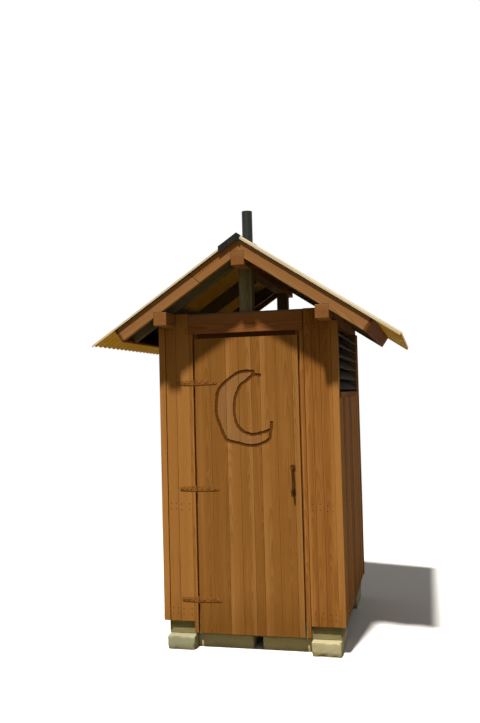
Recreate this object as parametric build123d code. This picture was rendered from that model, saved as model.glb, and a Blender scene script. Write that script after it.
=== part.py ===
from build123d import *
import math
import os

# A small wooden outhouse on concrete blocks.
# X runs to the right along the front, Y runs from the front to the back, Z is up.
# The origin is on the ground under the middle of the roof's outline.

# Stock sizes of the timber and boards, in millimetres
inch = 25.4
two_by = 38.0
four_by = 89.0
siding = 24.0
plywood = 18.0
sheathing = 9.5
seat_gap = 0.2
overcut = 1.0

# The cabin's outline at the outer face of its siding
cabin_width = 48.0 * inch
cabin_depth = 60.0 * inch
corner_board_proud = 6.0
corner_board_width = 43.0

# Base
block_height = 92.0
block_width = 194.0
block_length = 397.0
block_edge = 6.0
front_block_proud = 40.0
inner_block_setback = 45.0
inner_block_gap = 61.0
inner_block_middle = 22.0

# Heights
floor_underside = block_height + four_by
floor_top = floor_underside + plywood
plate_over_door = 84.8
mid_girt_bottom = 905.0
louvre_height = 471.0
sill_proud = 6.0

# Roof
gable_rise = 492.0
birdsmouth_depth = 36.0
roof_half_width = 1035.0
gable_overhang = 8.0 * inch
rafter_tail_x = 797.0
eave_board_gauge = 19.0
ridge_beam_drop = 70.0
rake_overhang = 15.0
sheet_depth = 16.0
sheet_gauge = 2.0
wave_pitch = 77.0
wave_flat_count = 6
sheet_lip = 8.0
ridge_cap_leg = 150.0
ridge_cap_gauge = 2.0
cap_fold_drop = 44.0
cap_fold_return = 20.0

# Vent pipe
pipe_outer = 88.9
pipe_wall = 5.5
pipe_x = -275.0
pipe_back_gap = 143.0
pipe_above_ridge = 510.0
pipe_hole_gap = 4.0
flashing_gauge = 2.0
flashing_half = 105.0
flashing_base_radius = 72.0
flashing_rise = 95.0
collar_gap = 0.3

# Doorway and door
door_width = 28.0 * inch
door_height = 78.0 * inch
door_bottom = 105.0
door_middle = -7.0
door_gap = 14.0
door_stop_gap = 5.0
door_board = siding - door_stop_gap
door_stop_lap = 16.0
door_trim_width = 25.0
door_head_gap = 33.0
header_height = 127.0
header_thickness = 38.0
lintel_lap = 20.0
ledge_width = 89.0
ledge_thickness = 19.0
ledge_side_gap = 16.0
ledge_bottom_gap = 125.0
ledge_top_gap = 207.0
ledge_chamfer = 3.0

# Crescent cut into the door, measured from the door's upper hinge corner
moon_across = 381.0
moon_down = 481.0
moon_outer_radius = 247.0
moon_inner_radius = 190.0
moon_inner_shift_x = 64.0
moon_inner_shift_z = 23.0
moon_outer_start_angle = 77.8
moon_outer_end_angle = 302.3
moon_inner_start_angle = 98.0
moon_inner_end_angle = 294.0
moon_groove_width = 18.0
moon_groove_depth = 6.0

# Hinges and handle
hinge_bottom_gap = 222.0
hinge_top_gap = 299.0
hinge_middle_raise = 13.0
hinge_gauge = 3.0
hinge_barrel = 14.0
hinge_pin = 7.0
hinge_pin_gap = 0.3
hinge_height = 36.0
hinge_knuckle_gap = 0.6
wall_leaf_length = 118.0
door_leaf_length = 160.0
leaf_root = 34.0
leaf_tip = 24.0
handle_height = 200.0
handle_above_floor = 1024.0
handle_from_edge = 52.0
handle_grip = 12.0
handle_reach = 42.0
handle_bend_radius = 14.4
handle_foot_width = 32.0
handle_foot_height = 38.0
handle_foot_gauge = 4.0
handle_foot_corner = 8.0

# Louvres
slat_count = 6
slat_pitch = 74.0
slat_width = 89.0
slat_gauge = 14.0
slat_angle = 45.0

# Values worked out from the ones above
siding_x = cabin_width / 2
siding_y = cabin_depth / 2
frame_x = siding_x - siding
frame_y = siding_y - siding
post_x = frame_x - four_by
post_y = frame_y - four_by
pipe_y = frame_y - pipe_back_gap
door_top = door_bottom + door_height
plate_bottom = door_top + plate_over_door
plate_top = plate_bottom + four_by
louvre_bottom = plate_bottom - louvre_height
ridge_height = plate_top + gable_rise
cover_thickness = sheet_depth + sheathing

# The slope at which the notched rafters rest on the plates, close to 8 in 12
roof_build = cover_thickness + four_by
seat_rise = gable_rise + birdsmouth_depth
slope = math.acos(roof_build / math.hypot(seat_rise, frame_x)) - math.atan2(frame_x, seat_rise)
slope_degrees = math.degrees(slope)
roof_pitch = math.tan(slope)

# The roof, the doorway, the corners and the hinges
roof_half_length = siding_y + gable_overhang
sheet_waves = round(2 * roof_half_length / wave_pitch)
rafter_top_at_ridge = ridge_height - cover_thickness / math.cos(slope)
rafter_bottom_at_ridge = rafter_top_at_ridge - four_by / math.cos(slope)
barge_face_y = roof_half_length - rake_overhang
ridge_beam_bottom = rafter_bottom_at_ridge - ridge_beam_drop
ridge_beam_top = ridge_beam_bottom + four_by
pipe_top = ridge_height + pipe_above_ridge
door_left = door_middle - door_width / 2
door_right = door_middle + door_width / 2
door_face_y = -frame_y - door_stop_gap - door_board
door_back_y = -frame_y - door_stop_gap
opening_left = door_left - door_gap
opening_right = door_right + door_gap
stud_left = door_left + door_stop_lap
stud_right = door_right - door_stop_lap
header_bottom = door_top + door_head_gap
trim_left = opening_left - door_trim_width
trim_right = opening_right + door_trim_width
corner_x = siding_x + corner_board_proud
corner_y = siding_y + corner_board_proud
corner_edge_x = corner_x - corner_board_width
corner_edge_y = corner_y - corner_board_width
sill_bottom = louvre_bottom - two_by
hinge_x = (door_left + opening_left) / 2
hinge_y = door_face_y - hinge_barrel / 2
lowest_hinge = door_bottom + hinge_bottom_gap
highest_hinge = door_top - hinge_top_gap
middle_hinge = (lowest_hinge + highest_hinge) / 2 + hinge_middle_raise
hinge_heights = (lowest_hinge, middle_hinge, highest_hinge)


def box(x0, x1, y0, y1, z0, z1):
    """A plain block between two corners."""
    middle = Location(((x0 + x1) / 2, (y0 + y1) / 2, (z0 + z1) / 2))
    return middle * Box(x1 - x0, y1 - y0, z1 - z0)


def across(profile, y0, y1):
    """A profile of (x, z) points, or a face in the XZ plane, run from y0 to y1."""
    face = profile
    if isinstance(profile, list):
        face = Plane.XZ * make_face(Polyline(*profile, close=True))
    return Pos(0, y1, 0) * extrude(face, y1 - y0)


def mirror_side(shape):
    """The same piece on the other side of the cabin's middle line."""
    return mirror(shape, about=Plane.YZ)


def write(name, *solids):
    """Write one node, made of one or more solids that stay apart."""
    shape = solids[0] if len(solids) == 1 else Compound(children=list(solids))
    export_step(shape, "parts/" + name + ".step")


# Concrete blocks under the floor frame
def block(x0, x1, y0, y1):
    blank = box(x0, x1, y0, y1, 0, block_height)
    return chamfer(blank.edges().filter_by(Axis.Z), block_edge)


def corner_block_y():
    front = -siding_y - front_block_proud
    return front, front + block_length


def front_left_block():
    y0, y1 = corner_block_y()
    return block(-frame_x, -frame_x + block_width, y0, y1)


def front_right_block():
    y0, y1 = corner_block_y()
    return block(frame_x - block_width, frame_x, y0, y1)


def front_inner_blocks():
    """Two cut blocks that nearly meet under the door and fill the room to the corner blocks."""
    y0 = -siding_y + inner_block_setback
    y1 = y0 + block_width
    room = frame_x - block_width - seat_gap
    left = block(-room, inner_block_middle - inner_block_gap / 2, y0, y1)
    right = block(inner_block_middle + inner_block_gap / 2, room, y0, y1)
    return left, right


def rear_blocks():
    y1 = frame_y
    y0 = y1 - block_length
    left = block(-frame_x, -frame_x + block_width, y0, y1)
    right = block(frame_x - block_width, frame_x, y0, y1)
    return left, right


# Floor frame and floor
def end_rims():
    front = box(-frame_x, frame_x, -frame_y, -frame_y + two_by, block_height, floor_underside)
    rear = box(-frame_x, frame_x, frame_y - two_by, frame_y, block_height, floor_underside)
    return front, rear


def floor_joists():
    joists = []
    for x in (-frame_x, -two_by / 2, frame_x - two_by):
        inside = frame_y - two_by
        joists.append(box(x, x + two_by, -inside, inside, block_height, floor_underside))
    return joists


def floor_deck():
    deck = box(-frame_x, frame_x, -frame_y, frame_y, floor_underside, floor_top)
    hole_radius = pipe_outer / 2 + collar_gap
    return deck - pipe_bore(hole_radius, floor_underside - overcut, floor_top + overcut)


def pipe_bore(radius, z0, z1):
    return Location((pipe_x, pipe_y, (z0 + z1) / 2)) * Cylinder(radius, z1 - z0)


# Posts, studs and beams
def post(side, y0):
    x0 = post_x if side > 0 else -frame_x
    return box(x0, x0 + four_by, y0, y0 + four_by, floor_top, plate_bottom)


def door_studs():
    y1 = -frame_y + four_by
    left = box(stud_left - two_by, stud_left, -frame_y, y1, floor_top, plate_bottom)
    right = box(stud_right, stud_right + two_by, -frame_y, y1, floor_top, plate_bottom)
    return left, right


def door_lintel():
    z0 = door_top - lintel_lap
    return box(stud_left, stud_right, -frame_y, -frame_y + two_by, z0, plate_bottom)


def tie(y0):
    return box(-post_x, post_x, y0, y0 + four_by, plate_bottom, plate_top)


def side_plate():
    return box(post_x, frame_x, -barge_face_y, barge_face_y, plate_bottom, plate_top)


def ridge_beam():
    half = four_by / 2
    return box(-half, half, -barge_face_y, barge_face_y, ridge_beam_bottom, ridge_beam_top)


def king_posts():
    half = four_by / 2
    front = box(-half, half, -frame_y, -post_y, plate_top, ridge_beam_bottom)
    rear = box(-half, half, post_y, frame_y, plate_top, ridge_beam_bottom)
    return front, rear


def wall_girts():
    girts = []
    for z0 in (floor_top, mid_girt_bottom):
        z1 = z0 + four_by
        girts.append(box(-frame_x, -frame_x + two_by, -post_y, post_y, z0, z1))
        girts.append(box(frame_x - two_by, frame_x, -post_y, post_y, z0, z1))
        girts.append(box(-post_x, post_x, frame_y - two_by, frame_y, z0, z1))
    return girts


# Siding and trim
def front_wall(inner_x):
    """Siding of the right side of the front, notched under the plate."""
    wall = box(inner_x, corner_edge_x, -siding_y, -frame_y, floor_underside, plate_top)
    y0 = -siding_y - overcut
    y1 = -frame_y + overcut
    return wall - box(post_x, siding_x, y0, y1, plate_bottom, plate_top + overcut)


def back_wall():
    wall = box(-corner_edge_x, corner_edge_x, frame_y, siding_y, floor_underside, plate_top)
    y0 = frame_y - overcut
    y1 = siding_y + overcut
    notch = box(post_x, siding_x, y0, y1, plate_bottom, plate_top + overcut)
    return wall - notch - mirror_side(notch)


def side_wall():
    return box(frame_x, siding_x, -corner_edge_y, corner_edge_y, floor_underside, sill_bottom)


def louvre_jambs():
    jambs = []
    for y0, y1 in ((-corner_edge_y, -post_y), (post_y, corner_edge_y)):
        jamb = box(frame_x, siding_x, y0, y1, sill_bottom, plate_bottom)
        jambs.append(jamb)
        jambs.append(mirror_side(jamb))
    return jambs


def corner_boards():
    boards = []
    for way in (-1, 1):
        y0, y1 = sorted((way * frame_y, way * corner_y))
        front_leg = box(corner_edge_x, corner_x, y0, y1, floor_underside, plate_bottom)
        y0, y1 = sorted((way * corner_edge_y, way * corner_y))
        side_leg = box(frame_x, corner_x, y0, y1, floor_underside, plate_bottom)
        board = front_leg + side_leg
        boards.append(board)
        boards.append(mirror_side(board))
    return boards


def door_header():
    y0 = -frame_y - header_thickness
    return box(trim_left, trim_right, y0, -frame_y, header_bottom, header_bottom + header_height)


def door_trims():
    left = box(trim_left, opening_left, -siding_y, -frame_y, door_bottom, header_bottom)
    right = box(opening_right, trim_right, -siding_y, -frame_y, door_bottom, header_bottom)
    return left, right


# Louvres
def louvre_sill():
    x1 = siding_x + sill_proud
    return box(x1 - four_by, x1, -post_y, post_y, sill_bottom, louvre_bottom)


def louvre():
    turn = math.radians(slat_angle)
    half_rise = (slat_width * math.sin(turn) + slat_gauge * math.cos(turn)) / 2
    room = plate_bottom - louvre_bottom
    spare = room - 2 * half_rise - (slat_count - 1) * slat_pitch
    middle_x = siding_x - (slat_width * math.cos(turn) + slat_gauge * math.sin(turn)) / 2
    slats = []
    for index in range(slat_count):
        z = louvre_bottom + spare / 2 + half_rise + index * slat_pitch
        place = Location((middle_x, 0, z), (0, slat_angle, 0))
        slats.append(place * Box(slat_width, 2 * post_y, slat_gauge))
    return slats


# Roof
def under_roof(x, drop):
    """Height of a line that lies drop below the roof's top, square to the slope."""
    return ridge_height - roof_pitch * x - drop / math.cos(slope)


def tail_point(depth, outward):
    """A point that lies depth under the roof's top and outward from the rafters' sawn ends."""
    along_end = cover_thickness + four_by - depth
    x = rafter_tail_x + along_end * math.sin(slope) + outward * math.cos(slope)
    return x, under_roof(x, depth)


def rafter(y0, y1, inner_x):
    """A rafter of the right side, notched over the plate."""
    top = cover_thickness
    bottom = cover_thickness + four_by
    seat_x = (under_roof(0, bottom) - plate_top) / roof_pitch
    profile = [
        (inner_x, under_roof(inner_x, top)),
        tail_point(top, 0),
        tail_point(bottom, 0),
        (frame_x, under_roof(frame_x, bottom)),
        (frame_x, plate_top),
        (seat_x, plate_top),
        (inner_x, under_roof(inner_x, bottom)),
    ]
    return across(profile, y0, y1)


def inner_rafters():
    half = four_by / 2
    places = (-frame_y, -two_by / 2, frame_y - two_by)
    return [rafter(y0, y0 + two_by, half) for y0 in places]


def barge(y0):
    """The outermost rafter: its plumb cut meets its twin above the ridge beam."""
    half = four_by / 2
    y1 = y0 + two_by
    blank = rafter(y0, y1, 0)
    return blank - box(-half, half, y0 - overcut, y1 + overcut, 0, ridge_beam_top)


def slope_slab(from_x, to_x, y0, y1, upper, lower):
    """A flat layer of the right slope between two depths below the roof's top."""
    dx_upper = upper * math.sin(slope)
    dx_lower = lower * math.sin(slope)
    profile = [
        (from_x, under_roof(from_x, upper)),
        (to_x - dx_upper, under_roof(to_x - dx_upper, upper)),
        (to_x - dx_lower, under_roof(to_x - dx_lower, lower)),
        (from_x, under_roof(from_x, lower)),
    ]
    return across(profile, y0, y1)


def roof_boards():
    to_x = rafter_tail_x + (four_by + cover_thickness) * math.sin(slope)
    return slope_slab(0, to_x, -barge_face_y, barge_face_y, sheet_depth + seat_gap, cover_thickness)


def eave_boards():
    """The two boards nailed to the ends of the rafters and barges, up to the sheets."""
    top = sheet_depth + seat_gap
    bottom = cover_thickness + four_by
    profile = [
        tail_point(top, 0),
        tail_point(top, eave_board_gauge),
        tail_point(bottom, eave_board_gauge),
        tail_point(bottom, 0),
    ]
    right = across(profile, -barge_face_y, barge_face_y)
    return right, mirror_side(right)


def wave_points(lift):
    """One face of a sheet's section, from trough to trough, in short flats."""
    rise = (sheet_depth - sheet_gauge) / 2
    count = wave_flat_count * sheet_waves
    points = []
    for index in range(count + 1):
        y = roof_half_length * (2 * index / count - 1)
        height = rise * (1 - math.cos(2 * math.pi * index / wave_flat_count))
        points.append((y, height + lift))
    return points


def roof_sheet():
    """A corrugated sheet whose waves run down the slope, its side edges turned down."""
    y_max = roof_half_length
    upper_side = reversed(wave_points(sheet_gauge))
    profile = make_face(Polyline(*wave_points(0), *upper_side, close=True))
    lip_height = sheet_lip + sheet_gauge
    for way in (-1, 1):
        place = Pos(way * (y_max - sheet_gauge / 2), sheet_gauge - lip_height / 2)
        profile = profile + place * Rectangle(sheet_gauge, lip_height)
    length = roof_half_width / math.cos(slope)
    down = Vector(math.cos(slope), 0, -math.sin(slope))
    outward = Vector(math.sin(slope), 0, math.cos(slope))
    start = Vector(0, 0, ridge_height) - outward * sheet_depth
    plane = Plane(origin=start, x_dir=Vector(0, 1, 0), z_dir=down)
    sheet = extrude(plane * profile, length + sheet_depth)
    keep = box(0, roof_half_width, -2 * y_max, 2 * y_max, 0, 2 * ridge_height)
    return sheet & keep


def ridge_cap():
    """A bent strip over the two sheets, its left leg folded down over the sheets' ends."""
    leg_x = ridge_cap_leg * math.cos(slope)
    up = ridge_cap_gauge / math.cos(slope)
    low = ridge_height + seat_gap
    drop = roof_pitch * leg_x
    tip_x = leg_x + ridge_cap_gauge * math.sin(slope)
    strip_profile = [
        (0, low),
        (leg_x, low - drop),
        (tip_x, low + up - roof_pitch * tip_x),
        (0, low + up),
        (-tip_x, low + up - roof_pitch * tip_x),
        (-leg_x, low - drop),
    ]
    return_drop = roof_pitch * cap_fold_return
    fold_profile = [
        (0, low + up),
        (cap_fold_return, low + up - return_drop),
        (cap_fold_return, low - return_drop - cap_fold_drop),
        (0, low - cap_fold_drop),
        (-leg_x, low - drop - cap_fold_drop),
        (-leg_x, low - drop + up),
    ]
    inner_y = roof_half_length + seat_gap
    outer_y = inner_y + ridge_cap_gauge
    cap = across(strip_profile, -outer_y, outer_y)
    cap = cap + across(fold_profile, -outer_y, -inner_y)
    return cap + across(fold_profile, inner_y, outer_y)


# Vent pipe and its roof flashing
def vent_pipe():
    outer = pipe_bore(pipe_outer / 2, floor_underside, pipe_top)
    inner_radius = pipe_outer / 2 - pipe_wall
    return outer - pipe_bore(inner_radius, floor_underside - overcut, pipe_top + overcut)


def pipe_flashing():
    """A cone that closes the hole round the pipe, on a flat base on the sheet."""
    distance = abs(pipe_x)
    base_z = under_roof(distance, 0) + seat_gap
    collar_radius = pipe_outer / 2 + collar_gap
    top_z = base_z + flashing_rise
    low_z = base_z - 2 * flashing_base_radius
    rise = top_z - low_z
    spread = (flashing_base_radius - collar_radius) * rise / flashing_rise
    cone = Cone(collar_radius + spread + flashing_gauge, collar_radius + flashing_gauge, rise)
    cone = Location((pipe_x, pipe_y, (top_z + low_z) / 2)) * cone
    hollow = Cone(collar_radius + spread, collar_radius, rise)
    hollow = Location((pipe_x, pipe_y, (top_z + low_z) / 2)) * hollow
    tilt = Location((pipe_x, pipe_y, base_z), (0, -slope_degrees, 0))
    side = 2 * flashing_half
    plate = tilt * Pos(0, 0, flashing_gauge / 2) * Box(side, side, flashing_gauge)
    above = tilt * Pos(0, 0, rise) * Box(4 * side, 4 * side, 2 * rise)
    return (plate + (cone & above)) - hollow - pipe_bore(collar_radius, low_z, top_z + overcut)


# Door
def arc_points(centre_x, centre_z, radius, start_angle, end_angle):
    """The start, middle and end of an arc, its angles counted up from the X axis."""
    points = []
    for degrees in (start_angle, (start_angle + end_angle) / 2, end_angle):
        turn = math.radians(degrees)
        points.append((centre_x + radius * math.cos(turn), centre_z + radius * math.sin(turn)))
    return points


def moon_groove():
    """The crescent's outline as a band, cut into the face of the door."""
    x = door_left + moon_across
    z = door_top - moon_down
    outer = arc_points(x, z, moon_outer_radius, moon_outer_start_angle, moon_outer_end_angle)
    x = x + moon_inner_shift_x
    z = z + moon_inner_shift_z
    inner = arc_points(x, z, moon_inner_radius, moon_inner_start_angle, moon_inner_end_angle)
    edges = [
        ThreePointArc(*outer),
        Line(outer[2], inner[2]),
        ThreePointArc(*inner),
        Line(inner[0], outer[0]),
    ]
    crescent = make_face(edges)
    wide = offset(crescent, moon_groove_width / 2)
    narrow = offset(crescent, -moon_groove_width / 2)
    band = wide - narrow
    cut = extrude(Plane.XZ * band, moon_groove_depth * 2)
    return Pos(0, door_face_y + moon_groove_depth, 0) * cut


def door_panel():
    panel = box(door_left, door_right, door_face_y, door_back_y, door_bottom, door_top)
    return panel - moon_groove()


def door_ledges():
    x0 = stud_left + ledge_side_gap
    x1 = stud_right - ledge_side_gap
    y1 = door_back_y + ledge_thickness
    lowest = door_bottom + ledge_bottom_gap
    highest = door_top - ledge_top_gap - ledge_width
    ledges = []
    for z0 in (lowest, (lowest + highest) / 2, highest):
        ledge = box(x0, x1, door_back_y, y1, z0, z0 + ledge_width)
        ledges.append(chamfer(ledge.faces().sort_by(Axis.Y)[-1].edges(), ledge_chamfer))
    return ledges


def leaf(length, way):
    """A flat strap with a rounded tip, from the barrel's middle outwards."""
    tip = leaf_tip / 2
    root = leaf_root / 2
    end = length - tip
    outline = [
        Line((0, -root), (way * end, -tip)),
        ThreePointArc((way * end, -tip), (way * length, 0), (way * end, tip)),
        Line((way * end, tip), (0, root)),
        Line((0, root), (0, -root)),
    ]
    strap = extrude(Plane.XZ * make_face(outline), hinge_gauge)
    return Pos(hinge_x, -siding_y, 0) * strap


def barrel(radius, z0, z1):
    return Location((hinge_x, hinge_y, (z0 + z1) / 2)) * Cylinder(radius, z1 - z0)


def wall_hinge_leaves():
    leaves = []
    knuckle = (hinge_height - 2 * hinge_knuckle_gap) / 3
    gap = hinge_knuckle_gap
    for z in hinge_heights:
        low = z - hinge_height / 2
        upper = low + knuckle + 2 * gap + knuckle
        middle = Location((0, 0, z))
        clear = barrel(hinge_barrel / 2 + gap, low + knuckle, upper)
        strap = (middle * leaf(wall_leaf_length, -1)) - clear
        piece = strap + barrel(hinge_barrel / 2, low, low + knuckle)
        piece = piece + barrel(hinge_barrel / 2, upper, upper + knuckle)
        piece = piece + barrel(hinge_pin / 2, low, low + hinge_height)
        leaves.append(piece)
    return leaves


def door_hinge_leaves():
    leaves = []
    knuckle = (hinge_height - 2 * hinge_knuckle_gap) / 3
    gap = hinge_knuckle_gap
    for z in hinge_heights:
        low = z - hinge_height / 2
        high = z + hinge_height / 2
        centre_low = low + knuckle + gap
        centre_high = centre_low + knuckle
        middle = Location((0, 0, z))
        strap = middle * leaf(door_leaf_length, 1)
        strap = strap - barrel(hinge_barrel / 2 + gap, low - overcut, centre_low)
        strap = strap - barrel(hinge_barrel / 2 + gap, centre_high, high + overcut)
        piece = strap + barrel(hinge_barrel / 2, centre_low, centre_high)
        leaves.append(piece - barrel(hinge_pin / 2 + hinge_pin_gap, low, high))
    return leaves


def door_handle():
    """A round iron pull, bent from one rod, on two flat feet."""
    x = door_right - handle_from_edge
    z = door_bottom + handle_above_floor
    half = handle_height / 2 - handle_foot_height / 2
    out = door_face_y - handle_reach + handle_grip / 2
    near = door_face_y - handle_foot_gauge / 2
    route = [(x, near, z - half), (x, out, z - half), (x, out, z + half), (x, near, z + half)]
    path = FilletPolyline(*route, radius=handle_bend_radius)
    start = Plane(origin=route[0], z_dir=(0, -1, 0))
    grip = sweep(start * Circle(handle_grip / 2), path=path)
    for side in (-1, 1):
        foot = Location((x, door_face_y - handle_foot_gauge / 2, z + side * half))
        plate = foot * Box(handle_foot_width, handle_foot_gauge, handle_foot_height)
        grip = grip + fillet(plate.edges().filter_by(Axis.Y), handle_foot_corner)
    return grip


def main():
    os.makedirs("parts", exist_ok=True)

    write("front_left_block", front_left_block())
    write("front_right_block", front_right_block())
    write("front_inner_blocks", *front_inner_blocks())
    write("rear_blocks", *rear_blocks())
    write("end_rims", *end_rims())
    write("floor_joists", *floor_joists())
    write("floor_deck", floor_deck())

    write("front_left_post", post(-1, -frame_y))
    write("front_right_post", post(1, -frame_y))
    write("rear_posts", post(-1, post_y), post(1, post_y))
    write("door_studs", *door_studs())
    write("door_lintel", door_lintel())
    write("front_tie", tie(-frame_y))
    write("rear_tie", tie(post_y))
    write("right_plate", side_plate())
    write("left_plate", mirror_side(side_plate()))
    write("ridge_beam", ridge_beam())
    write("king_posts", *king_posts())
    write("wall_girts", *wall_girts())

    write("front_right_wall", front_wall(trim_right))
    write("front_left_wall", mirror_side(front_wall(-trim_left)))
    write("back_wall", back_wall())
    write("right_wall", side_wall())
    write("left_wall", mirror_side(side_wall()))
    write("corner_boards", *corner_boards())
    write("door_header", door_header())
    write("door_trims", *door_trims())
    write("louvre_jambs", *louvre_jambs())
    write("louvre_sills", louvre_sill(), mirror_side(louvre_sill()))
    write("right_louvre", *louvre())
    write("left_louvre", *[mirror_side(slat) for slat in louvre()])

    write("right_rafters", *inner_rafters())
    write("left_rafters", *[mirror_side(piece) for piece in inner_rafters()])
    write("front_right_barge", barge(-barge_face_y))
    write("front_left_barge", mirror_side(barge(-barge_face_y)))
    write("rear_right_barge", barge(barge_face_y - two_by))
    write("rear_left_barge", mirror_side(barge(barge_face_y - two_by)))
    write("eave_boards", *eave_boards())
    hole = pipe_bore(pipe_outer / 2 + pipe_hole_gap, plate_top, pipe_top)
    write("right_roof_boards", roof_boards())
    write("left_roof_boards", mirror_side(roof_boards()) - hole)
    write("right_roof_sheet", roof_sheet())
    write("left_roof_sheet", mirror_side(roof_sheet()) - hole)
    write("ridge_cap", ridge_cap())
    write("vent_pipe", vent_pipe())
    write("pipe_flashing", pipe_flashing())

    write("door_panel", door_panel())
    write("door_ledges", *door_ledges())
    write("wall_hinge_leaves", *wall_hinge_leaves())
    write("door_hinge_leaves", *door_hinge_leaves())
    write("door_handle", door_handle())


if __name__ == "__main__":
    main()
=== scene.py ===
import math

import bmesh
import bpy
import numpy as np
from bpy.props import FloatProperty, FloatVectorProperty, IntProperty, PointerProperty
from mathutils import Matrix, Vector, noise


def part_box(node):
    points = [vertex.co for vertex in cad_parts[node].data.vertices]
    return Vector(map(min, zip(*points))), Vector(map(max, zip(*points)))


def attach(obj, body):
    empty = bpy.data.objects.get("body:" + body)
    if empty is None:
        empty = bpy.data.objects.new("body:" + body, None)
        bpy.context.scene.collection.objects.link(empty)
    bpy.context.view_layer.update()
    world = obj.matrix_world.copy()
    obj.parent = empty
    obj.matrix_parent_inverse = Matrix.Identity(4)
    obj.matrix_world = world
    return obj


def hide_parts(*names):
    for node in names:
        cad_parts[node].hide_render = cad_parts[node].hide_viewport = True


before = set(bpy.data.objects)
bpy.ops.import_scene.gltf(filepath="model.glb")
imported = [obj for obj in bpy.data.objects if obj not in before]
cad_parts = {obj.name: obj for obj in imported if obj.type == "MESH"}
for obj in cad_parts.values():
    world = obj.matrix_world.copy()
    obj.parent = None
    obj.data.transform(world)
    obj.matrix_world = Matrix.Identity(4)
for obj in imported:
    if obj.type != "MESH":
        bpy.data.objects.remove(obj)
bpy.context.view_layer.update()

bl_info = {
    "name": "Wooden Outhouse",
    "version": (1, 0, 0),
    "blender": (4, 5, 0),
    "location": "3D View > Sidebar > Outhouse",
    "description": "Dresses a packed CAD frame as a board-clad wooden outhouse",
    "category": "Object",
}

ACROSS = Vector((1, 0, 0))
DEPTH = Vector((0, 1, 0))
UP = Vector((0, 0, 1))

# Heights of the siding's nails above the ground
LOW_NAILS = (0.226, 0.262, 0.93, 0.968)
GABLE_NAILS = (*LOW_NAILS, 2.125, 2.152)
SIDE_NAILS = (*LOW_NAILS, 1.62)

# A board's tone, from 0 for dark to 1 for pale, and the side of its sapwood
FRONT_TONES = ((0.78, 0), (0.8, 1), (0.48, -1), (0.56, 0), (0.5, 1))
STRIP_TONE = (0.3, 0)

# The door's planks from the hinge edge on: width, tone and side of the sapwood
DOOR_PLANKS = (
    (0.1086, 0.40, 0), (0.1070, 0.34, 0), (0.0900, 0.60, -1), (0.0870, 0.42, 1),
    (0.0600, 0.36, 0), (0.1100, 0.52, -1), (0.1096, 0.46, 0), (0.0390, 0.74, 1),
)

# The crescent's lines, as metres right of the hinge edge and down from the door's top
CRESCENT = (
    (
        (0.408, 0.233), (0.352, 0.231), (0.292, 0.245), (0.219, 0.295), (0.164, 0.354), (0.149, 0.431),
        (0.147, 0.517), (0.170, 0.590), (0.199, 0.664), (0.225, 0.694), (0.299, 0.712), (0.339, 0.723),
        (0.387, 0.729), (0.430, 0.724), (0.487, 0.702),
    ),
    (
        (0.408, 0.253), (0.354, 0.298), (0.318, 0.323), (0.281, 0.399), (0.271, 0.465), (0.272, 0.523),
        (0.289, 0.588), (0.328, 0.633), (0.362, 0.6465), (0.397, 0.655), (0.467, 0.6415), (0.513, 0.625),
    ),
    ((0.404, 0.231), (0.4146, 0.253), (0.454, 0.260)),
    ((0.487, 0.702), (0.5095, 0.680), (0.514, 0.650), (0.520, 0.625), (0.525, 0.575)),
)


# Values that a user would change

def length(name, description, default):
    return FloatProperty(
        name=name, description=description, default=default, min=0.0, unit="LENGTH", precision=4
    )


def angle(name, description, degrees):
    return FloatProperty(name=name, description=description, default=math.radians(degrees), unit="ROTATION")


def strength(name, description, default):
    return FloatProperty(name=name, description=description, default=default, min=0.0)


def count(name, description, default, least=1):
    return IntProperty(name=name, description=description, default=default, min=least)


def linear(channel):
    """A colour channel as written on screen, from 0 to 255, as light."""
    channel = channel / 255
    return channel / 12.92 if channel <= 0.04045 else ((channel + 0.055) / 1.055) ** 2.4


def colour(name, description, *channels):
    default = [linear(channel) for channel in channels]
    return FloatVectorProperty(
        name=name, description=description, default=default, size=3, min=0.0, max=1.0, subtype="COLOR"
    )


class BoardSizes(bpy.types.PropertyGroup):
    joint: length("Joint", "Gap between two neighbouring boards", 0.0014)
    corner_groove: length("Corner Groove", "Gap between the left corner board and the first board", 0.0035)
    trim_groove: length("Trim Groove", "Gap between the door trim and the first board", 0.004)
    edge: length("Board Edge", "Radius of the siding's long edges", 0.0016)
    play: length("Depth Play", "How far a board may lie back from its neighbours", 0.0009)
    timber_edge: length("Timber Edge", "Width of the worn edge of beams and rafters", 0.003)
    trim_edge: length("Trim Edge", "Width of the worn edge of trim and thin boards", 0.0018)
    side_count: count("Side Boards", "Boards of each side wall", 12)
    back_count: count("Back Boards", "Full boards of the back wall", 10)


class DoorSizes(bpy.types.PropertyGroup):
    joint: length("Plank Joint", "Gap between two planks", 0.0012)
    moon_x: length("Crescent Across", "Middle of the crescent, from the hinge edge", 0.381)
    moon_z: length("Crescent Down", "Middle of the crescent, from the door's top", 0.481)
    reach: length("Crescent Reach", "Radius round the middle that holds the whole crescent", 0.300)
    line: length("Line Width", "Width of the crescent's routed line", 0.0205)
    cut: length("Line Depth", "Depth of the crescent's routed line", 0.0045)


class RoofSizes(bpy.types.PropertyGroup):
    waves: count("Waves", "Whole waves across a sheet", 25)
    depth: length("Wave Depth", "Height of a sheet over its waves", 0.016)
    gauge: length("Sheet Gauge", "Thickness of the sheet", 0.002)
    lip: length("Sheet Lip", "How far a sheet's side edges turn down", 0.008)
    screw_rows: count("Screw Rows", "Rows of screws down a sheet", 4, 2)
    first_row: length("First Row", "First row of screws, down the slope from the ridge", 0.185)
    last_row: length("Last Row", "Last row of screws, down the slope from the ridge", 0.92)


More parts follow.
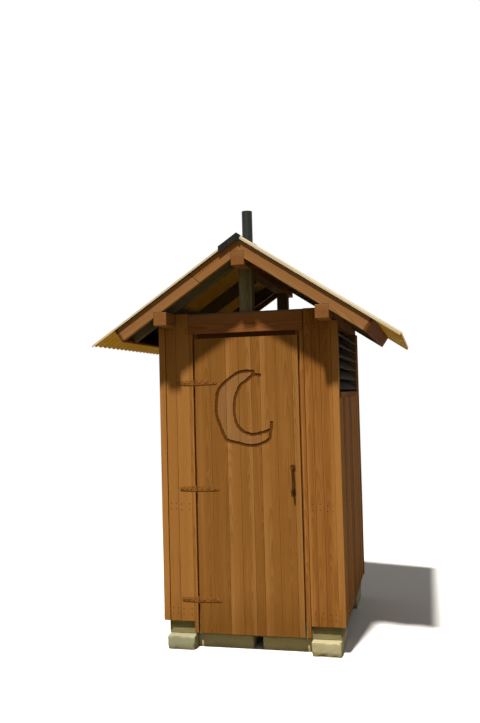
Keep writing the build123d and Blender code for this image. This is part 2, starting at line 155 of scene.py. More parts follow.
class LouvreSizes(bpy.types.PropertyGroup):
    count: count("Slats", "Slats of each vent", 6)
    pitch: length("Slat Pitch", "Height from slat to slat", 0.074)
    width: length("Slat Width", "Width of a slat", 0.089)
    gauge: length("Slat Gauge", "Thickness of a slat", 0.014)
    slope: angle("Slat Slope", "Slope of the slats, falling outwards", 45.0)


class FastenerSizes(bpy.types.PropertyGroup):
    nail: length("Nail Head", "Diameter of a nail's head", 0.0072)
    nail_rise: length("Nail Rise", "How far a nail's head stands up", 0.0008)
    bolt: length("Bolt Head", "Diameter of a hinge bolt's domed head", 0.0135)
    bolt_rise: length("Bolt Rise", "Height of a hinge bolt's head", 0.0036)
    washer: length("Washer", "Diameter of a roof screw's washer", 0.021)
    hexagon: length("Hexagon", "Diameter of a roof screw's head over its corners", 0.011)


class Finishes(bpy.types.PropertyGroup):
    stain_dark: colour("Dark Stain", "Darkest siding boards", 110, 62, 24)
    stain: colour("Stain", "Siding boards of middling tone", 149, 96, 42)
    stain_light: colour("Light Stain", "Palest siding boards", 178, 124, 64)
    beam_dark: colour("Dark Beam", "Darkest barge boards and plates", 100, 60, 28)
    beam: colour("Beam", "Barge boards and plates of middling tone", 150, 100, 56)
    beam_light: colour("Light Beam", "Palest barge boards and plates", 160, 116, 70)
    # The door head colour is the middle stop of the beam finish darkened as painted shade, for pieces that
    # sit in shade.
    head: colour("Door Head", "Beam over the door and the eave boards", 146, 92, 50)
    door_dark: colour("Dark Planks", "Darkest door planks", 128, 82, 34)
    door: colour("Planks", "Door planks of middling tone", 148, 99, 44)
    door_light: colour("Light Planks", "Palest door planks", 170, 120, 64)
    moon: colour("Crescent", "Wood inside the crescent", 150, 108, 68)
    burn: colour("Crescent Line", "Routed line of the crescent", 84, 44, 14)
    raw: colour("Framing", "Unfinished framing timber", 134, 118, 88)
    raw_dark: colour("Dark Framing", "Darkest framing timber", 82, 66, 44)
    # The vent slats are coloured near black.
    treated: colour("Treated", "Treated timber near the ground", 150, 142, 96)
    slat: colour("Slats", "Weathered louvre slats", 50, 36, 23)
    slat_dark: colour("Dark Slats", "Darkest weathered slats", 24, 16, 10)
    # Roof boarding: near black, as dark boarding and as painted shade under the eaves; paler over the room,
    # as painted light in the gable.
    ply: colour("Roof Boarding", "Dark boarding under the sheets", 44, 28, 20)
    ply_inside: colour("Inner Boarding", "Roof boarding over the room", 158, 128, 82)
    sheet: colour("Sheet", "Plastic of the roof sheets", 222, 206, 164)
    # The sheets' underside colour is a painted glow: yellow as light coming through the sheet.
    sheet_under: colour("Sheet Underside", "Underside of the roof sheets", 150, 118, 40)
    sheet_rim: colour("Sheet Rim", "Cut edges and turned-down lips of the sheets", 240, 232, 208)
    concrete: colour("Concrete", "Palest concrete", 206, 188, 140)
    concrete_dark: colour("Dark Concrete", "Darkest concrete", 124, 128, 104)
    cap: colour("Flashing", "Ridge cap and pipe flashing", 19, 17, 18)
    pipe: colour("Pipe", "Vent pipe", 30, 33, 28)
    iron: colour("Iron", "Handle, nails and bolts", 78, 42, 16)
    zinc: colour("Zinc", "Roof screws", 150, 152, 150)
    hinge: colour("Hinge Paint", "Paint over the hinges", 140, 90, 36)


class StageLook(bpy.types.PropertyGroup):
    key: strength("Key", "Strength of the key light", 5.7)
    ambient: strength("Ambient", "Strength of the light from all round", 0.235)
    softness: angle("Softness", "Angle that the key light fills", 3.5)
    floor: colour("Floor", "Floor as the camera sees it", 236, 234, 230)
    bounce: colour("Floor Bounce", "Floor as the object is lit by it", 102, 98, 72)


GROUPS = {
    "outhouse_boards": BoardSizes,
    "outhouse_door": DoorSizes,
    "outhouse_roof": RoofSizes,
    "outhouse_louvres": LouvreSizes,
    "outhouse_fasteners": FastenerSizes,
    "outhouse_finishes": Finishes,
    "outhouse_stage": StageLook,
}


# Node trees

def arithmetic(operation, reflected=False):
    """One of Python's operators as the Math node of that operation."""
    def work(wire, other):
        return work_out(operation, *((other, wire) if reflected else (wire, other)))
    return work


class Wire:
    """A socket of a node tree. Arithmetic on it adds the nodes that work it out."""

    def __init__(self, tree, socket):
        self.tree = tree
        self.socket = socket

    def of(self, output):
        """Another output of the same node."""
        return Wire(self.tree, self.socket.node.outputs[output])

    __add__ = arithmetic("ADD")
    __radd__ = arithmetic("ADD", True)
    __sub__ = arithmetic("SUBTRACT")
    __rsub__ = arithmetic("SUBTRACT", True)
    __mul__ = arithmetic("MULTIPLY")
    __rmul__ = arithmetic("MULTIPLY", True)
    __truediv__ = arithmetic("DIVIDE")
    __rtruediv__ = arithmetic("DIVIDE", True)


def tree_of(*values):
    """The tree of the first wire among these values."""
    return next(value.tree for value in values if isinstance(value, Wire))


def socket_of(sockets, key):
    """A socket by its number, its identifier, or its name with _ for a space."""
    if isinstance(key, int):
        return sockets[key]
    return next((s for s in sockets if s.identifier == key), None) or sockets[key.replace("_", " ")]


def add_node(tree, kind, *values, out=0, **named):
    """A node of that type. Names in small letters are its settings, which are set first.

    The others are its sockets, as are the values without a name, and get a value or a link."""
    made = tree.nodes.new(kind)
    for key, value in named.items():
        if key == "stops":
            steps = made.color_ramp.elements
            steps.remove(steps[1])
            steps[0].position, steps[0].color = value[0]
            for place, shade in value[1:]:
                steps.new(place).color = shade
        elif key.islower():
            setattr(made, key, value)
    for key, value in (*enumerate(values), *named.items()):
        if isinstance(key, str) and key.islower():
            continue
        socket = socket_of(made.inputs, key)
        if isinstance(value, Wire):
            tree.links.new(value.socket, socket)
        elif socket.type == "VECTOR" and isinstance(value, (int, float)):
            socket.default_value = (value, value, value)
        else:
            socket.default_value = value
    return Wire(tree, socket_of(made.outputs, out))


def work_out(operation, *values):
    """A Math node, or a Vector Math node where a vector goes in."""
    types = [value.socket.type for value in values if isinstance(value, Wire)]
    kind = "ShaderNodeVectorMath" if "VECTOR" in types else "ShaderNodeMath"
    return add_node(tree_of(*values), kind, *values, operation=operation)


def join(x, y, z):
    return add_node(tree_of(x, y, z), "ShaderNodeCombineXYZ", x, y, z)


def split(wire):
    x = add_node(wire.tree, "ShaderNodeSeparateXYZ", wire)
    return x, x.of("Y"), x.of("Z")


def smooth(wire, low, high, start=0.0, end=1.0):
    """start up to low, end from high on, and a smooth rise between them."""
    way = "SMOOTHSTEP"
    return add_node(wire.tree, "ShaderNodeMapRange", wire, low, high, start, end, interpolation_type=way)


def fade(wire, low, high):
    """1 up to low, 0 from high on, and a smooth fall between them."""
    return smooth(wire, low, high, 1.0, 0.0)


def cloud(place, scale=1.0, detail=2.0, roughness=0.5):
    return add_node(
        place.tree, "ShaderNodeTexNoise", Vector=place, Scale=scale, Detail=detail, Roughness=roughness
    )


def cells(place, scale):
    return add_node(place.tree, "ShaderNodeTexVoronoi", Vector=place, Scale=scale)


def whole(value):
    """A colour with its alpha."""
    return (*value, 1.0)


def tint(factor, first, second, way="MIX"):
    """Two colours mixed."""
    return add_node(
        tree_of(factor, first), "ShaderNodeMix", out="Result_Color", data_type="RGBA", blend_type=way,
        Factor_Float=factor, A_Color=first, B_Color=second,
    )


def shade(factor, base, *channels):
    """The base multiplied by a colour, as far as the factor says."""
    return tint(factor, base, whole(channels), "MULTIPLY")


def own_attribute(tree, name, out="Fac"):
    return add_node(tree, "ShaderNodeAttribute", out=out, attribute_name=name)


def object_place(tree):
    return add_node(tree, "ShaderNodeTexCoord", out="Object")


def skin(base, roughness, specular, relief, depth, amount, **more):
    """A Principled shader with relief of that depth."""
    normal = add_node(base.tree, "ShaderNodeBump", Height=relief, Distance=depth, Strength=amount)
    return add_node(
        base.tree, "ShaderNodeBsdfPrincipled", Base_Color=base, Roughness=roughness,
        Specular_IOR_Level=specular, Normal=normal, **more,
    )


def mixed(factor, first, second):
    return add_node(first.tree, "ShaderNodeMixShader", factor, first, second)


def translucent(tree, *channels):
    return add_node(tree, "ShaderNodeBsdfTranslucent", Color=whole(channels))


def empty_tree(data):
    """The node tree of a material or a world, with nothing in it."""
    data.use_nodes = True
    data.node_tree.nodes.clear()
    return data.node_tree


def surface(shader, output="ShaderNodeOutputMaterial"):
    shader.tree.links.new(shader.socket, shader.tree.nodes.new(output).inputs["Surface"])


def seen_by_camera(tree):
    """1 for what the camera sees, also in a mirror or through glass, and 0 for what lights the object."""
    camera = add_node(tree, "ShaderNodeLightPath", out="Is Camera Ray")
    others = work_out("MAXIMUM", camera.of("Is Glossy Ray"), camera.of("Is Transmission Ray"))
    return work_out("MAXIMUM", camera, others)


# Materials

def wood(
    tree, dark, middle, light, ring=0.3, streak=0.5, rough=0.78, splash=True, grey=0.0, moon=None, burn=None,
    indoor=None,
):
    """Sawn boards, cut from logs: rings, fibres, knots, sapwood, worn edges and end grain."""
    dark, middle, light = whole(dark), whole(middle), whole(light)
    late_wood = (0.46, 0.30, 0.16)
    along, across, through = split(own_attribute(tree, "grain", "Vector"))
    tone, half, sap = split(own_attribute(tree, "board", "Vector"))
    run = along + tone * 73.1
    broad = cloud(join(run * 0.7, across * 24, through * 24), detail=3.0, roughness=0.6)
    drift = cloud(join(run * 1.3, across * 5, through * 5), detail=1.0)
    fibre = cloud(join(run * 8, across * 430, through * 430), roughness=0.65)

    cell = cells(join(run * 4.6, across * 7.5, 0.0), 1.0)
    pick, size, _ = split(cell.of("Color"))
    chosen = smooth(pick, 0.76, 0.78)
    near = fade(cell, 0.02, 0.30) * chosen
    knot = fade(cell, 0.035, 0.05 + size * 0.05) * chosen

    depth = through + tone * 0.07 + along * 0.016 + drift * 0.04
    aside = across + (tone * 5.3 - 2.6) * half
    radius = work_out("SQRT", aside * aside + depth * depth)
    phase = work_out("FRACT", radius * 215 + near * 2.4 + broad * 1.6)
    late = smooth(phase, 0.30, 0.86) * fade(phase, 0.90, 1.0)

    base = add_node(tree, "ShaderNodeValToRGB", tone, stops=((0.0, dark), (0.5, middle), (1.0, light)))
    base = tint(smooth(broad, 0.50, 0.74) * streak, base, light)
    base = tint(smooth(broad, 0.47, 0.28) * streak, base, dark)
    edge = smooth(across * sap / half, -0.1, 0.9) * smooth(drift, 0.30, 0.46)
    base = tint(edge * 0.75, base, light)
    base = shade(late * ring, base, *late_wood)
    base = shade(smooth(fibre, 0.52, 0.78) * 0.45, base, 0.50, 0.36, 0.24)
    if grey:
        base = tint(smooth(fibre, 0.46, 0.26) * 0.22, base, (1.0, 0.86, 0.66, 1.0), "SCREEN")
    base = tint(knot * 0.8, base, (0.075, 0.028, 0.010, 1.0))
    rim = smooth(work_out("ABSOLUTE", across), half - 0.007, half - 0.001)
    base = tint(rim * smooth(fibre + drift, 0.85, 1.25) * 0.45, base, light)
    if moon:
        base = tint(own_attribute(tree, "moon") * (0.35 + broad * 0.4), base, whole(moon))
        burnt = own_attribute(tree, "burn") * smooth(fibre + broad, 0.55, 1.0, 0.98, 0.8)
        base = tint(burnt, base, whole(burn))
    if splash:
        height = split(object_place(tree))[2]
        damp = fade(height + drift * 0.35, 0.28, 0.60)
        base = shade(damp * 0.4, base, 0.50, 0.44, 0.30)
    if grey:
        base = tint(smooth(broad + fibre * 0.5, 0.55, 0.95) * grey, base, (0.22, 0.20, 0.175, 1.0))
    # Over the room the boarding is painted paler as light in the gable; at the eaves it keeps its near-black
    # base, partly painted shade.
    if indoor:
        x, y, _ = split(object_place(tree))
        inside = fade(work_out("ABSOLUTE", x), 0.52, 0.60)
        inside = inside * fade(work_out("ABSOLUTE", y), 0.70, 0.90)
        base = tint(inside, base, whole(indoor))
        base = shade(late * ring * inside, base, *late_wood)
    base = shade(own_attribute(tree, "tips") * 0.3, base, 0.48, 0.36, 0.24)

    relief = fibre * 0.6 + late * 0.35 - knot * 0.5 + broad * 0.3
    roughness = smooth(fibre, 0.25, 0.75, rough - 0.12, rough + 0.14)
    shader = skin(base, roughness, 0.04, relief, 0.0012, 0.75)
    # Over the room a translucent shader also lets light through the boarding, standing in for the light in
    # the gable.
    return mixed(inside * 0.55, shader, translucent(tree, 0.82, 0.80, 0.72)) if indoor else shader


def concrete(tree, dark, pale):
    """Cast concrete with grit, pits and earth at its foot."""
    place = object_place(tree)
    tone = split(own_attribute(tree, "board", "Vector"))[0]
    patch = cloud(place, 6.0, 4.0, 0.6)
    grit = cloud(place, 160.0, 3.0, 0.7)
    pits = fade(cells(place, 46.0), 0.05, 0.20) * smooth(cloud(place, 15.0), 0.50, 0.62)
    base = tint(tone * 0.75 + patch * 0.4, whole(dark), whole(pale))
    base = shade(smooth(grit, 0.55, 0.75) * 0.4, base, 0.42, 0.38, 0.30)
    base = tint(smooth(grit, 0.42, 0.25) * 0.25, base, (0.80, 0.76, 0.66, 1.0))
    base = shade(pits * 0.6, base, 0.20, 0.18, 0.13)
    earth = fade(split(place)[2] + patch * 0.05, 0.03, 0.065)
    base = shade(earth * 0.5, base, 0.46, 0.40, 0.22)
    relief = patch * 0.5 + grit * 0.5 - pits * 1.2
    return skin(base, smooth(grit, 0.3, 0.7, 0.82, 0.96), 0.3, relief, 0.003, 0.8)


def roof_plastic(tree, cream, glow_beneath, edge):
    """Cream ribbed plastic that lets some light through, with dirt that runs down the slope. Its underside is
    painted a glowing yellow as light that comes through the sheet.
    """
    place = object_place(tree)
    x, y, _ = split(place)
    side = work_out("ABSOLUTE", x)
    run = cloud(join(side * 1.3, y * 34, 0.0), detail=4.0, roughness=0.6)
    patch = cloud(place, 3.2, 3.0, 0.55)
    speck = cloud(place, 95.0, 3.0, 0.6)
    base = tint(smooth(patch, 0.35, 0.7) * 0.45, whole(cream), (0.78, 0.70, 0.50, 1.0))
    dirt = smooth(run + own_attribute(tree, "trough") * 0.16, 0.50, 0.72)
    base = shade(dirt * 0.45, base, 0.42, 0.36, 0.20)
    moss = smooth(side + patch * 0.35, 0.93, 1.22) * smooth(speck, 0.4, 0.62)
    base = tint(moss * 0.55, base, (0.20, 0.19, 0.06, 1.0))
    base = shade(smooth(speck, 0.62, 0.76) * 0.35, base, 0.50, 0.42, 0.26)
    # Faces that look down are painted yellow as the glow of light through the sheet.
    base = tint(own_attribute(tree, "under") * (0.75 + patch * 0.25), base, whole(glow_beneath))
    base = tint(own_attribute(tree, "rim") * (0.65 + patch * 0.3), base, whole(edge))
    relief = speck * 0.35 + patch * 0.3 + run * 0.2
    front = skin(base, smooth(dirt + speck * 0.3, 0.2, 1.0, 0.38, 0.66), 0.15, relief, 0.0008, 0.5)
    return mixed(0.36, front, translucent(tree, 0.70, 0.49, 0.09))


def painted_metal(tree, paint, bare, wear, rough, metal):
    """Paint or oxide over metal, rubbed through in places."""
    place = object_place(tree)
    patch = cloud(place, 26.0, 4.0, 0.6)
    fine = cloud(place, 240.0, 3.0, 0.65)
    worn = smooth(patch + fine * 0.35, 0.72 - wear * 0.2, 0.80)
    base = tint(smooth(fine, 0.35, 0.65) * 0.5, whole(paint), whole([c * 0.62 for c in paint]))
    base = tint(worn * wear, base, whole(bare))
    roughness = smooth(fine + patch * 0.4, 0.4, 0.95, rough - 0.1, rough + 0.2)
    relief = fine * 0.5 + patch * 0.5 - worn * 0.3
    return skin(base, roughness, 0.12, relief, 0.0006, 0.6, Metallic=worn * metal)


def dull_plastic(tree, plain, dust, rough, grain):
    """Pipe plastic or rubber sheet with dust and rain streaks."""
    place = object_place(tree)
    x, y, z = split(place)
    runs = cloud(join(x * 42, y * 42, z * 1.6), detail=3.0, roughness=0.6)
    patch = cloud(place, 9.0, 4.0, 0.6)
    fine = cloud(place, 310.0, 2.0, 0.6)
    base = tint(smooth(runs, 0.45, 0.75) * dust, whole(plain), (0.10, 0.10, 0.085, 1.0))
    base = tint(smooth(patch, 0.50, 0.75) * dust * 0.8, base, (0.065, 0.06, 0.048, 1.0))
    base = shade(smooth(fine, 0.55, 0.80) * 0.3, base, 0.50, 0.50, 0.48)
    roughness = smooth(patch + runs * 0.5, 0.4, 1.0, rough, rough + 0.2)
    return skin(base, roughness, 0.14, fine * 0.5 + patch * 0.4, grain, 0.6)


# Each finish: the frame's slot for it, the function that makes it, and what that takes. Words name colours.
FINISHES = {
    "stained_boards": ("stained_wood", wood, ("stain_dark", "stain", "stain_light"), {}),
    "stained_beams": (
        "stained_wood", wood, ("beam_dark", "beam", "beam_light"), {"ring": 0.4, "splash": False},
    ),
    # A copy of the beam stain darkened as painted shade, for the door head, lintel, side studs and eave
    # boards that sit in shade.
    "dark_beams": ("stained_wood", wood, ("beam_dark", "head", "beam"), {"ring": 0.4, "splash": False}),
    "door_planks": (
        "door_wood", wood, ("door_dark", "door", "door_light"),
        {"streak": 0.4, "moon": "moon", "burn": "burn"},
    ),
    "framing_timber": ("raw_wood", wood, ("raw_dark", "raw", "raw"), {"splash": False, "grey": 0.3}),
    "treated_timber": ("treated_wood", wood, ("raw_dark", "treated", "treated"), {"grey": 0.2}),
    # The vent slats are coloured near black.
    "weathered_slats": (
        "weathered_wood", wood, ("slat_dark", "slat_dark", "slat"), {"splash": False, "rough": 0.8},
    ),
    # Roof boarding: near black as dark boarding and painted shade under the eaves, paler over the room as
    # painted light.
    "roof_boarding": (
        "dark_plywood", wood, ("ply", "ply", "raw_dark"),
        {"splash": False, "streak": 0.3, "indoor": "ply_inside"},
    ),
    "rough_cast_concrete": ("concrete", concrete, ("concrete_dark", "concrete"), {}),
    "cream_roof_plastic": ("roof_sheet", roof_plastic, ("sheet", "sheet_under", "sheet_rim"), {}),
    "black_pipe_plastic": ("black_pipe", dull_plastic, ("pipe", 0.30, 0.42, 0.0004), {}),
    "dark_flashing_sheet": ("dark_flashing", dull_plastic, ("cap", 0.22, 0.55, 0.0009), {}),
    "brown_hinge_paint": ("hinge_paint", painted_metal, ("hinge", "iron", 0.4, 0.62, 0.2), {}),
    "dark_iron": ("black_iron", painted_metal, ("iron", (0.13, 0.085, 0.05), 0.35, 0.6, 0.15), {}),
    "zinc_screws": ("black_iron", painted_metal, ("zinc", (0.26, 0.14, 0.06), 0.35, 0.45, 0.9), {}),
}


def finish(name):
    """The material of that name, made once."""
    def chosen(value):
        return getattr(bpy.context.scene.outhouse_finishes, value) if isinstance(value, str) else value

    if name not in bpy.data.materials:
        _, make, values, named = FINISHES[name]
        tree = empty_tree(bpy.data.materials.new(name))
        surface(make(tree, *map(chosen, values), **{key: chosen(value) for key, value in named.items()}))
    return bpy.data.materials[name]


# Meshes

def placed(name, data):
    """An object of the scene that holds this data."""
    made = bpy.data.objects.new(name, data)
    bpy.context.scene.collection.objects.link(made)
    return made


def plain_mesh(holder):
    """What an object's modifiers make of its mesh. The object is removed."""
    graph = bpy.context.evaluated_depsgraph_get()
    made = bpy.data.meshes.new_from_object(holder.evaluated_get(graph), depsgraph=graph)
    holder.modifiers.clear()
    bpy.data.objects.remove(holder)
    return made


def mesh_from(bm, name):
    mesh = bpy.data.meshes.new(name)
    bm.to_mesh(mesh)
    bm.free()
    return mesh


def reworked(mesh, work):
    """The mesh after this work on all of its faces and edges."""
    bm = bmesh.new()
    bm.from_mesh(mesh)
    work(bm)
    bm.to_mesh(mesh)
    bm.free()
    return mesh


def face_outwards(bm):
    bmesh.ops.recalc_face_normals(bm, faces=bm.faces)


def gathered_meshes(meshes):
    """A bmesh that holds all of these meshes, which are removed."""
    bm = bmesh.new()
    for mesh in meshes:
        bm.from_mesh(mesh)
        bpy.data.meshes.remove(mesh)
    return bm


def merged(nodes):
    """A bmesh with merged copies of these CAD nodes, each flat face made whole."""
    copies = []
    for node in nodes.split():
        bm = bmesh.new()
        bm.from_mesh(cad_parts[node].data)
        bmesh.ops.remove_doubles(bm, verts=bm.verts, dist=1e-5)
        bmesh.ops.dissolve_limit(bm, angle_limit=math.radians(0.4), verts=bm.verts, edges=bm.edges)
        copies.append(mesh_from(bm, node))
    return gathered_meshes(copies)


def wear_edges(bm, width, segments=2):
    sharp = [e for e in bm.edges if e.is_manifold and e.calc_face_angle() > math.radians(30)]
    bmesh.ops.bevel(
        bm, geom=sharp, offset=width, segments=segments, profile=0.6, affect="EDGES", clamp_overlap=True
    )


def smooth_sides(mesh, degrees=35):
    """Smooth shading except where the surface turns sharply."""
    def shading(bm):
        for face in bm.faces:
            face.smooth = True
        for edge in bm.edges:
            edge.smooth = edge.is_manifold and edge.calc_face_angle() < math.radians(degrees)
    return reworked(mesh, shading)


def carved(mesh, cutter):
    """The mesh less a closed cutter."""
    blank = placed("blank", mesh)
    tool = placed("cutter", mesh_from(cutter, "cutter"))
    cut = blank.modifiers.new("cut", "BOOLEAN")
    cut.operation = "DIFFERENCE"
    cut.solver = "EXACT"
    cut.object = tool
    left = plain_mesh(blank)
    bpy.data.objects.remove(tool)
    return left


def islands(mesh):
    """The number of the loose part that each vertex belongs to."""
    label = np.arange(len(mesh.vertices))
    ends = np.empty(len(mesh.edges) * 2, int)
    mesh.edges.foreach_get("vertices", ends)
    first, second = ends.reshape(-1, 2).T
    while (label[first] != label[second]).any():
        low = np.minimum(label[first], label[second])
        for these in (label[first], label[second], first, second):
            np.minimum.at(label, these, low)
        label = label[label]
    return np.unique(label, return_inverse=True)[1]


def places_of(mesh):
    places = np.empty(len(mesh.vertices) * 3)
    mesh.vertices.foreach_get("co", places)
    return places.reshape(-1, 3)


def extents(places, part):
    """The lowest and the highest corner of each loose part."""
    parts = [places[part == k] for k in range(part.max() + 1)]
    return np.array([p.min(0) for p in parts]), np.array([p.max(0) for p in parts])


def solid_boxes(nodes):
    """The lowest and highest corner of each solid of these CAD nodes."""
    mesh = mesh_from(merged(nodes), "solids")
    corners = extents(places_of(mesh), islands(mesh))
    bpy.data.meshes.remove(mesh)
    return [(Vector(low), Vector(high)) for low, high in zip(*corners)]


def write_attribute(mesh, name, kind, domain, values):
    made = mesh.attributes.new(name, kind, domain)
    field = "vector" if kind == "FLOAT_VECTOR" else "value"
    made.data.foreach_set(field, np.ravel(values).astype(np.float32))


def write_face_mark(mesh, name, values):
    write_attribute(mesh, name, "FLOAT", "FACE", values)


def face_normals(mesh):
    return np.array([tuple(face.normal) for face in mesh.polygons])


def mark_boards(mesh, along, across, seed, tones=None, spread=(0.0, 1.0)):
    """Writes what the wood materials read.

    That is each board's own coordinates, its tone, half width and sapwood side, and its sawn ends. Tones are
    given from side to side, or as a function of a board's middle, or else drawn from the spread."""
    along = np.array(Vector(along).normalized())
    across = np.array(Vector(across).normalized())
    places = places_of(mesh)
    own = places @ np.array([along, across, np.cross(along, across)]).T
    part = islands(mesh)
    low, high = extents(own, part)
    number = len(low)
    order = np.argsort((low + high)[:, 1].round(4) * 100 + (low + high)[:, 0].round(4), kind="stable")
    draw = np.random.default_rng(seed)
    board = np.zeros((number, 3))
    board[order, 0] = spread[0] + (spread[1] - spread[0]) * draw.random(number)
    board[order, 2] = draw.choice((-1.0, 0.0, 0.0, 1.0), number)
    if callable(tones):
        board[:, 0] = [tones(places[part == k].mean(0)) for k in range(number)]
    elif tones:
        for k, (tone, side) in zip(order, tones):
            board[k, 0] = tone
            board[k, 2] = side
    board[:, 1] = (high - low)[:, 1] / 2
    write_attribute(mesh, "grain", "FLOAT_VECTOR", "POINT", own - ((low + high) / 2)[part])
    write_attribute(mesh, "board", "FLOAT_VECTOR", "POINT", board[part])
    write_face_mark(mesh, "tips", np.abs(face_normals(mesh) @ along) > 0.7)


def piece(name, mesh, look, body="cabin", nodes=""):
    """A finished piece that rides on its body and stands for these CAD nodes."""
    made = placed(name, mesh)
    mesh.materials.clear()
    mesh.materials.append(finish(look))
    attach(made, body)
    if nodes:
        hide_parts(*nodes.split())


def timber(name, nodes, look, along, across, seed, edge=None, body="cabin", slot=None, **marks):
    """CAD timber with worn edges and its own grain."""
    bm = merged(nodes)
    wear_edges(bm, edge or bpy.context.scene.outhouse_boards.timber_edge)
    mesh = mesh_from(bm, name)
    mark_boards(mesh, along, across, seed, **marks)
    piece(name, mesh, look, body, nodes)


def smooth_copy(name, node, look, body="cabin", degrees=35):
    """A CAD node as it is, smoothly shaded."""
    piece(name, smooth_sides(mesh_from(merged(node), name), degrees), look, body, node)


# Geometry Nodes

def gathered(*parts):
    """Several geometries as one."""
    tree = tree_of(*parts)
    both = tree.nodes.new("GeometryNodeJoinGeometry")
    for part in parts:
        tree.links.new(part.socket, both.inputs[0])
    return Wire(tree, both.outputs[0])


def moved(geometry, **values):
    return add_node(geometry.tree, "GeometryNodeTransform", Geometry=geometry, **values)


def stored(geometry, name, value, kind="FLOAT_VECTOR", domain="POINT"):
    """A geometry with this value kept under a name."""
    return add_node(
        geometry.tree, "GeometryNodeStoreNamedAttribute", data_type=kind, domain=domain, Geometry=geometry,
        Name=name, Value=value,
    )


def kept(tree, name):
    return add_node(tree, "GeometryNodeInputNamedAttribute", data_type="FLOAT_VECTOR", Name=name)


def scattered(entry, low, high):
    """A random vector for each point, from the tree's seed."""
    tree = entry["Seed"].tree
    index = add_node(tree, "GeometryNodeInputIndex")
    return add_node(
        tree, "FunctionNodeRandomValue", out="Value", data_type="FLOAT_VECTOR", Min=low, Max=high, ID=index,
        Seed=entry["Seed"],
    )


def plank_rod(width, thickness, edge, bottom, top):
    """A rod along Z with a rectangle's section and rounded long edges."""
    tree = edge.tree
    sides = add_node(tree, "GeometryNodeCurvePrimitiveQuadrilateral", Width=width, Height=thickness)
    sides = add_node(tree, "GeometryNodeFilletCurve", mode="POLY", Curve=sides, Count=2, Radius=edge)
    line = add_node(tree, "GeometryNodeCurvePrimitiveLine", Start=bottom, End=top)
    return add_node(tree, "GeometryNodeCurveToMesh", Curve=line, Profile_Curve=sides, Fill_Caps=True)


def boards_on_points(tree, entry):
    """A board on each point, as large as the point's size says."""
    here = add_node(tree, "GeometryNodeInputPosition")
    middle = add_node(tree, "ShaderNodeCombineXYZ")
    points = stored(entry["Geometry"], "place", here)
    points = add_node(tree, "GeometryNodeSetPosition", Geometry=points, Position=middle)
    rod = plank_rod(1.0, 1.0, entry["Edge Radius"], (0.0, 0.0, -0.5), (0.0, 0.0, 0.5))
    boards = add_node(tree, "GeometryNodeInstanceOnPoints", Points=points, Instance=rod)
    shift = scattered(entry, (0.0, 0.0, 0.0), entry["Depth Play"])
    boards = stored(boards, "shift", shift, domain="INSTANCE")
    boards = add_node(tree, "GeometryNodeRealizeInstances", boards)
    stretch = work_out("SIGN", here) * (kept(tree, "size") - 1.0) * 0.5
    place = here + stretch + kept(tree, "place") + kept(tree, "shift")
    return add_node(tree, "GeometryNodeSetPosition", Geometry=boards, Position=place)


def sloping_slats(tree, entry):
    """Sloping slats one above the other."""
    half = join(0.0, 0.0, entry["Slat Length"] * 0.5)
    rod = plank_rod(entry["Slat Width"], entry["Slat Gauge"], entry["Edge Radius"], half * -1.0, half)
    rod = moved(rod, Rotation=(math.radians(90), 0.0, 0.0))
    step = join(0.0, 0.0, entry["Pitch"])
    line = add_node(
        tree, "GeometryNodeMeshLine", mode="OFFSET", Count=entry["Count"], Start_Location=entry["Lowest"],
        Offset=step,
    )
    turn = join(0.0, entry["Slope"], 0.0)
    return add_node(tree, "GeometryNodeInstanceOnPoints", Points=line, Instance=rod, Rotation=turn)


def turned_heads(entry, head):
    """A head on each point, turned the way that the point faces and tilted a little."""
    tree = head.tree
    turn = add_node(tree, "FunctionNodeAlignRotationToVector", axis="Z", Vector=kept(tree, "facing"))
    lean, twist = 0.06, 3.0
    tilt = scattered(entry, (-lean, -lean, -twist), (lean, lean, twist))
    tilt = add_node(tree, "FunctionNodeEulerToRotation", Euler=tilt)
    turn = add_node(tree, "FunctionNodeRotateRotation", rotation_space="LOCAL", Rotation=turn, Rotate_By=tilt)
    return add_node(
        tree, "GeometryNodeInstanceOnPoints", Points=entry["Geometry"], Instance=head, Rotation=turn
    )


def domed_heads(tree, entry):
    """The round heads of nails, bolts and small screws."""
    ball = add_node(tree, "GeometryNodeMeshUVSphere", Segments=12, Rings=6, Radius=1.0)
    radius = entry["Diameter"] * 0.5
    return turned_heads(entry, moved(ball, Scale=join(radius, radius, entry["Rise"])))


def washered_screws(tree, entry):
    """Hexagonal heads on round washers."""
    disc = "GeometryNodeMeshCylinder"
    head = add_node(tree, disc, Vertices=6, Radius=entry["Diameter"] * 0.5, Depth=entry["Rise"] * 2.0)
    ring = add_node(tree, disc, Vertices=14, Radius=entry["Washer"] * 0.5, Depth=entry["Rise"] * 0.7)
    return turned_heads(entry, gathered(head, ring))


